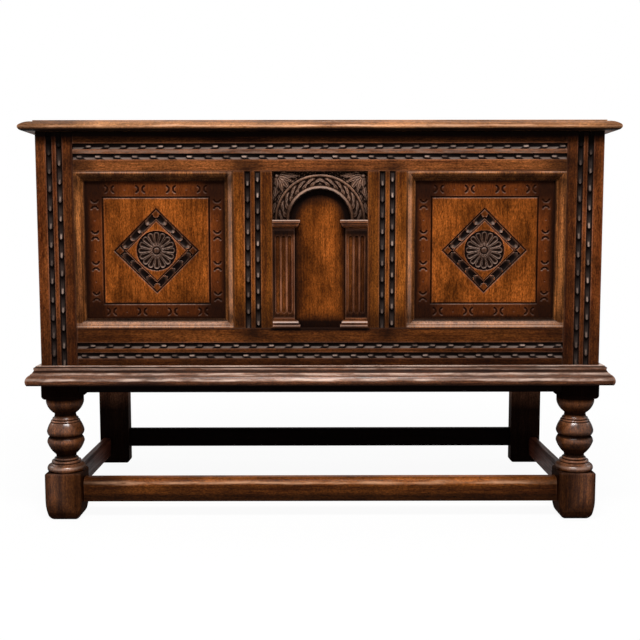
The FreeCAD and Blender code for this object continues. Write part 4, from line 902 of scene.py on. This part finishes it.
def add_arch(material):
    """The arch head with its beads, leaves and carved corners, in place of the plain CAD one."""
    _, high = [np.array(corner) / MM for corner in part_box("arch_head")]
    rise = high[2] - ARCH_HEIGHT
    radius, turn = arch_grid(high[0], rise)
    xs, up = radius * np.cos(turn), radius * np.sin(turn)
    aside = np.abs(xs)

    inner_bead = np.where(radius <= BAND_INNER, bead(radius, INNER_BEAD), 0.0)
    outer_bead = np.where((radius > BAND_OUTER) & (radius < ARCH_OUTER), bead(radius, OUTER_BEAD), 0.0)
    in_band = (radius >= BAND_INNER) & (radius <= BAND_OUTER)
    leaves = np.where(in_band, arch_leaves(radius, turn), 0.0)
    corners = np.where(radius > ARCH_OUTER, corner_leaves(aside, up, high[0], rise), 0.0)
    strokes = np.clip(np.sin(0.95 * aside + 0.45 * up) * np.sin(0.30 * up - 0.22 * aside), 0.0, 1.0)
    corners = np.maximum(corners, np.where(radius > ARCH_OUTER + 1.0, 0.75 * strokes, 0.0))
    carved = np.maximum(LEAF_RISE * leaves, CORNER_RISE * corners)
    proud = np.maximum.reduce([inner_bead, outer_bead, GROUND + carved])

    # Painted shadow under the inner bead, with a scalloped edge; painted shade on the ground between the
    # leaves and darker low down. The inner bead towards the crown and the tops of the leaves are painted worn
    # and lit.
    scallops = 0.9 * np.abs(np.sin((math.pi / 2 - turn) * ARCH_INNER * math.pi / SCALLOP))
    under = np.where(radius < BAND_INNER, 1.0 - smooth(63.6, 65.2, radius + scallops), 0.0)
    low_darkening = 0.65 * (1.0 - smooth(8.0, 48.0, up))
    dirt_and_shade = np.maximum.reduce([0.90 * (1.0 - smooth(8.0, 11.0, proud)), low_darkening, 0.95 * under])
    wear_and_highlight = np.maximum(0.20 * smooth(11.3, 13.5, inner_bead) * smooth(20.0, 62.0, up),
                      0.20 * smooth(3.2, 4.9, carved))
    front = np.stack([xs, ARCH_BACK - proud, ARCH_HEIGHT + up], axis=-1)
    mesh = carved_mesh("carved_arch_head", front, high[1], dirt_and_shade, wear_and_highlight)
    add_piece(mesh, [material], "oak_polished", "arch_head")


# The front legs, in millimetres: fine rings at the ankle and the neck (their heights and radius), and
# how far the foot draws in under its own edges.
LEG_RINGS = ((118.0, 123.8, 30.5), (124.0, 129.4, 25.0), (205.0, 209.8, 30.0), (210.0, 215.0, 26.8))
RING_BULGE = 1.9
RING_CELL = 0.7
RING_STEP = 0.1
FOOT_HALF = 38.0
FOOT_ROUND_TOP = 45.0
FOOT_ROUND_IN = 8.0
FOOT_CELL = 5.0
LEG_CREASE_DEG = 28.0
LEG_WELD = 0.01


def leg_levels():
    """The heights at which a leg is cut across, so that it can be shaped there."""
    levels = list(steps(FOOT_CELL, FOOT_ROUND_TOP, FOOT_CELL))
    for low, high, _ in LEG_RINGS:
        levels += [low - RING_STEP, *steps(low, high, RING_CELL), high + RING_STEP]
    return levels


def leg_reach(height, reach):
    """How far out a spot of the leg lies, from its height and how far out the CAD leg has it."""
    for low, high, radius in LEG_RINGS:
        if low <= height <= high:
            share = (2.0 * height - low - high) / (high - low)
            return radius - RING_BULGE * (1.0 - math.sqrt(max(0.0, 1.0 - share ** 2)))
    under = max(0.0, 1.0 - height / FOOT_ROUND_TOP)
    return reach * (1.0 - FOOT_ROUND_IN / FOOT_HALF * under ** 2.2)


def add_turned_leg(node, material):
    """The CAD leg with its fine rings turned and its foot rounded under."""
    low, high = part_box(node)
    middle = Vector([0.5 * (low[0] + high[0]), 0.5 * (low[1] + high[1])])
    shape = bmesh.new()
    shape.from_mesh(nodes[node].data)
    bmesh.ops.remove_doubles(shape, verts=shape.verts, dist=LEG_WELD * MM)
    for level in leg_levels():
        everything = [*shape.verts, *shape.edges, *shape.faces]
        bmesh.ops.bisect_plane(shape, geom=everything, plane_co=(0, 0, level * MM), plane_no=(0, 0, 1))
    for point in shape.verts:
        away = point.co.xy - middle
        reach = away.length / MM
        if reach > 0.0:
            point.co.xy = middle + away * (leg_reach(round(point.co.z / MM, 3), reach) / reach)
    mesh = bpy.data.meshes.new("turned_" + node)
    shape.to_mesh(mesh)
    shape.free()
    if mesh.has_custom_normals:
        mesh.attributes.remove(mesh.attributes["custom_normal"])
    mesh.shade_smooth()
    mesh.set_sharp_from_angle(angle=math.radians(LEG_CREASE_DEG))
    add_piece(mesh, [material], "oak_polished", node)


# Worn edges, in metres, the least turn of an edge that wears and how close points are joined before.
EDGE_ROUND = 0.0011
BRACKET_ROUND = 0.0018
WORN_EDGE_DEG = 50.0
WELD_REACH = 1e-5


def soften(node, width=EDGE_ROUND):
    """Rounds a CAD piece's edges a little, as wear does."""
    piece = nodes[node]
    weld = piece.modifiers.new("one_skin", "WELD")
    weld.merge_threshold = WELD_REACH
    bevel = piece.modifiers.new("worn_edges", "BEVEL")
    bevel.width = width
    bevel.segments = 2
    bevel.limit_method = "ANGLE"
    bevel.angle_limit = math.radians(WORN_EDGE_DEG)
    piece.modifiers.new("even_light", "WEIGHTED_NORMAL")


def dress(material, *names):
    for name in names:
        mesh = nodes[name].data
        mesh.materials.clear()
        mesh.materials.append(material)


def sides(*stems):
    return [stem + "_" + side for stem in stems for side in ("left", "right")]


def dress_frame():
    # Painted shade: the shadow under the lid, and the pieces darker towards the bottom, where less light
    # falls. The shades also darken patches at the joints, by the muntins, along the inner edges and towards
    # the ends. The rail's ridge between its rows is painted worn and lit.
    under_lid = both(fade("Z", *UNDER_LID, 0.985), fade("Y", -0.262, -0.266, 1.0))
    high_joint = smudge(0.5, 0.74, 0.07, 0.8)
    low_joint = smudge(0.508, 0.385, 0.08, 0.8)
    over_muntins = smudge(0.15, 0.728, 0.045, 0.75)
    under_muntins = smudge(0.138, 0.398, 0.06, 0.85)
    under_niche = both(fade("Z", 0.396, 0.402, 1.0), fade("X", 0.112, 0.1, 0.93))
    rail = oak("oak_top_rail", "X", RAIL_OAK, wear_and_highlights=[stripe(0.7615, 0.7685, 0.17, ragged=0.0012)],
               shades=[under_lid, high_joint, over_muntins, stripe(0.76, 0.77, 0.34),
                       fade("Z", 0.73, 0.7265, 0.45), fade("X", 0.4, 0.5, 0.42)])
    low_rail = oak("oak_bottom_rail", "X", LOW_RAIL_OAK,
                   shades=[under_muntins, under_niche, stripe(0.4025, 0.407, 0.72),
                           fade("Z", 0.375, 0.34, 0.55), fade("X", 0.12, 0.04, 0.3),
                           fade("X", 0.38, 0.5, 0.6)])
    stile = oak("oak_stile", "Z", STILE_OAK,
                shades=[under_lid, high_joint, low_joint,
                        fade("X", 0.545, 0.51, 0.42), fade("X", 0.5085, 0.5035, 0.72),
                        fade("Z", 0.48, 0.345, 0.65), fade("Z", 0.7, 0.78, 0.5)])
    muntin = oak("oak_muntin", "Z", MUNTIN_OAK,
                 shades=[fade("X", 0.155, 0.104, 0.55), fade("X", 0.1735, 0.1758, 0.72),
                         fade("Z", 0.66, 0.725, 0.6), fade("Z", 0.485, 0.425, 0.75)])
    dress(rail, "front_top_rail")
    dress(low_rail, "front_bottom_rail")
    dress(stile, *sides("front_stile"))
    dress(muntin, *sides("front_muntin"))


def dress_panel_mouldings():
    # Painted shade: the moulding's shadows, darker corners and a dark line along the bottom; painted
    # highlights along its beads and on the lit ridge of its inner side.
    corners = [smudge(across, height, 0.034, 0.85) for across in (0.18, 0.497) for height in (0.427, 0.705)]
    inner_side = both(fade("X", 0.1785, 0.1805, 0.11), fade("X", 0.188, 0.186, 1.0))
    moulding = oak("oak_moulding", "Z", MOULDING_OAK, gloss=0.28, polish=0.1, top_highlight=0.4,
                   dirt_and_shade_reach=0.018, wear_and_highlight=0.15,
                   shades=[round_panel, stripe(0.4115, 0.4126, 0.3), *corners],
                   wear_and_highlights=[stripe(0.722, 0.7242, 0.2, ragged=0.0004), stripe(0.4082, 0.4112, 0.42),
                         stripe(0.4128, 0.4165, 0.2), inner_side])
    dress(moulding, *sides("panel_moulding"))


def dress_niche():
    # Painted shade round the niche and darker low down; the shaft is painted dark at its top, foot and edges.
    # The brackets carry painted shadows under the impost and in the base, and painted highlights along their
    # noses.
    niche = oak("oak_niche", "Z", PANEL_OAK, curl=1.8, contrast=0.62, blotch=1.35,
                shades=[niche_edges, fade("Z", 0.448, 0.418, 0.97)])
    shaft = oak("oak_shaft", "Z", SHAFT_OAK, dirt_and_shade_reach=0.016, wear_and_highlight=1.4,
                shades=[fade("Z", 0.575, 0.6, 0.93), fade("Z", 0.45, 0.432, 0.8),
                        fade("X", 0.088, 0.095, 0.9), fade("X", 0.056, 0.053, 0.6)])
    bracket = oak("oak_bracket", "X", SHAFT_OAK, gloss=0.26, polish=0.15, dirt_and_shade_reach=0.01, wear_and_highlight=0.4,
                  shades=[fade("Z", 0.411, 0.408, 0.85), stripe(0.4135, 0.4165, 0.55),
                          stripe(0.604, 0.6095, 0.85)],
                  wear_and_highlights=[stripe(0.625, 0.6275, 0.48), stripe(0.4172, 0.42, 0.45),
                        stripe(0.4098, 0.4125, 0.22)])
    dress(niche, "front_panel_centre")
    dress(shaft, *sides("pilaster"))
    dress(bracket, *sides("impost", "pilaster_base"))


def dress_ends_and_back():
    # Painted shade: the rear posts darker towards the floor on every face but the back, in the shadow of the
    # chest.
    low_front = both(fade("Z", 0.24, 0.14, 0.95), turned("Y", 0.7, 0.3, 1.0))
    post = oak("oak_rear_post", "Z", POST_OAK, gloss=0.55, wear_and_highlight=0.2, shades=[low_front])
    plain_x = oak("oak_plain_x", "X", PLAIN_OAK, gloss=0.6, wear_and_highlight=0.2)
    plain_z = oak("oak_plain_z", "Z", PLAIN_OAK, gloss=0.6, wear_and_highlight=0.2)
    dress(oak("oak_end_rail", "Y", STILE_OAK), *sides("end_top_rail", "end_bottom_rail"))
    dress(oak("oak_end_muntin", "Z", STILE_OAK), *sides("end_muntin"))
    dress(oak("oak_end_panel", "Z", PANEL_OAK), *sides("end_panels"))
    dress(post, *sides("rear_post"))
    dress(plain_x, "back_top_rail", "back_bottom_rail", "bottom_boards", "bottom_cleats")
    dress(plain_z, "back_panels", *sides("back_muntin"))


def dress_lid():
    # Painted shadow on the underside of the lid's front edge, a dark line near its top, and a painted
    # highlight, with wear, along its lower edge; the lid is also darker towards its ends.
    under_nose = both(fade("Z", 0.812, 0.8075, 0.97), fade("Y", -0.262, -0.272, 1.0))
    lid = oak("oak_lid", "X", LID_OAK, gloss=0.3, polish=0.12, dirt_and_shade_reach=0.006, contrast=0.7, bare_and_highlight=TAN,
              shades=[under_nose, fade("X", 0.5, 0.6, 0.6), fade("X", 0.1, 0.4, 0.22),
                      stripe(0.8252, 0.8275, 0.3, ragged=0.0008)],
              wear_and_highlights=[stripe(0.811, 0.8145, 0.45, ragged=0.0018)])
    dress(lid, "lid_board_front", "lid_board_middle", "lid_board_rear")


def add_legs():
    # Painted shade: dark in the narrow parts of the turning, on the lower half of each bulb, down the sides,
    # at the feet's inner sides, bottoms and backs and at the top under the stand; a painted highlight on the
    # ring over the foot.
    on_foot = fade("Z", 0.103, 0.101, 1.0)
    narrow_parts = [stripe(0.217, 0.233, 0.92, soft=0.003), stripe(0.171, 0.18, 0.92, soft=0.002),
                    stripe(0.1305, 0.151, 0.92, soft=0.003)]
    foot_shade = [both(on_foot, fade("X", 0.572, 0.512, 0.8)), both(on_foot, fade("Z", 0.075, 0.01, 0.85)),
                 both(on_foot, fade("Y", -0.2685, -0.266, 0.85))]
    flanks = [fade("X", 0.554, 0.578, 0.8), fade("X", 0.522, 0.498, 0.8)]
    leg = oak("oak_leg", "Z", LEG_OAK, gloss=0.22, polish=0.7, shine=0.0, dirt_and_shade_reach=0.016, top_highlight=0.08,
              open_grain=0.8,
              shades=[*narrow_parts, *foot_shade, *flanks, fade("Z", 0.24, 0.256, 0.985),
                      turned("Z", 0.15, -0.55, 0.85)],
              wear_and_highlights=[stripe(0.1085, 0.113, 0.22, soft=0.0015)])
    for node in sides("front_leg"):
        add_turned_leg(node, leg)


def dress_plinth():
    # Painted shade in the cove, in the groove under the top bead and under the nose, and darker towards the
    # ends; painted highlights, with wear, along the top bead, the second bead, the fillet and the nose.
    look = dict(gloss=0.22, polish=0.25, top_highlight=0.12, dirt_and_shade_reach=0.008,
                shades=[stripe(0.3155, 0.3212, 0.85, soft=0.0012), stripe(0.325, 0.3275, 0.94),
                        fade("Z", 0.2985, 0.2915, 0.93), fade("X", 0.5, 0.6, 0.5),
                        fade("X", 0.12, 0.32, 0.26)],
                wear_and_highlights=[stripe(0.3278, 0.3318, 1.2, ragged=0.0006),
                      stripe(0.3215, 0.3252, 0.48, ragged=0.0008),
                      stripe(0.3112, 0.315, 0.75, ragged=0.001),
                      stripe(0.3006, 0.3052, 0.95, soft=0.0015, ragged=0.0012)])
    dress(oak("oak_plinth_x", "X", PLINTH_OAK, **look), "plinth_moulding_front")
    dress(oak("oak_plinth_y", "Y", PLINTH_OAK, **look), *sides("plinth_moulding"))


def dress_stand():
    # Painted shade on the front stretcher's face and towards its ends, and a painted highlight, with wear,
    # along its top front edge. The rear stretcher and the stand rails are painted dark on every face but the
    # back, and the side rails black, as painted shade.
    stretcher_x = oak("oak_stretcher_x", "X", STRETCHER_OAK, gloss=0.32, polish=0.04, bare_and_highlight=TAN,
                      shades=[fade("Z", 0.075, 0.067, 0.66), fade("Z", 0.078, 0.048, 0.9),
                              fade("X", 0.36, 0.5, 0.75)],
                      wear_and_highlights=[stripe(0.073, 0.0785, 0.55, soft=0.0018, ragged=0.0018)])
    stretcher_y = oak("oak_stretcher_y", "Y", SIDE_OAK, gloss=0.4)
    dark_x = oak("oak_shade_x", "X", SIDE_OAK, gloss=0.55, wear_and_highlight=0.1, shades=[turned("Y", 0.7, 0.3, 0.985)])
    dark_y = oak("oak_shade_y", "Y", BLACK_OAK, gloss=0.55, wear_and_highlight=0.1)
    dress(stretcher_x, "stretcher_front")
    dress(stretcher_y, *sides("stretcher"))
    dress(dark_x, "stretcher_rear", "stand_rail_front", "stand_rail_back")
    dress(dark_y, *sides("stand_rail"))


def dress_hinges():
    dress(metal("hinge_brass", *BRASS), *sides("hinge_case_leaf", "hinge_lid_leaf", "hinge_pin"))
    dress(metal("screw_steel", *STEEL), "hinge_case_screws", "hinge_lid_screws")


def soften_boards():
    for node in ("front_top_rail", "front_bottom_rail", "stretcher_front", "stretcher_rear",
                 "lid_board_front", "lid_board_middle", "lid_board_rear", "plinth_moulding_front",
                 *sides("front_stile", "front_muntin", "end_top_rail", "end_bottom_rail", "end_muntin",
                        "rear_post", "stretcher", "plinth_moulding")):
        soften(node)
    for node in sides("impost", "pilaster_base"):
        soften(node, BRACKET_ROUND)


def carve_front():
    # The rows are painted dark under the lid and towards the bottom, as painted shade.
    row_look = dict(polish=0.1, dirt_and_shade_reach=0.008, wear_and_highlight=0.25)
    row_x = oak("oak_carved_x", "X", CARVED_OAK, shades=[fade("Z", *UNDER_LID, 0.98)], **row_look)
    row_z = oak("oak_carved_z", "Z", CARVED_OAK,
                shades=[fade("Z", 0.7, 0.77, 0.97), fade("Z", 0.5, 0.41, 0.5)], **row_look)
    carved_look = dict(gloss=0.3, polish=0.14, dirt_and_shade_reach=0.007, wear_and_highlight=0.35)
    flower = oak("oak_rosette", "Z", ROSETTE_OAK, top_highlight=0.35, **carved_look)
    leaves = oak("oak_leaves", "Z", LEAF_OAK, top_highlight=0.15, **carved_look)
    panel = oak("oak_panel", "Z", PANEL_OAK, top_highlight=0.4, curl=2.2, contrast=0.62, blotch=1.35)
    add_gouge_rows(row_x, row_z)
    for node, middle_x, middle_z in CARVED_PANELS:
        add_carved_panel(node, middle_x, middle_z, panel, flower)
    add_arch(leaves)


scene.view_settings.view_transform = "Standard"
add_camera()
add_world()
add_floor()
for lamp in LAMPS:
    add_lamp(*lamp)

dress_frame()
dress_panel_mouldings()
dress_niche()
dress_ends_and_back()
dress_lid()
add_legs()
dress_plinth()
dress_stand()
dress_hinges()
soften_boards()
carve_front()
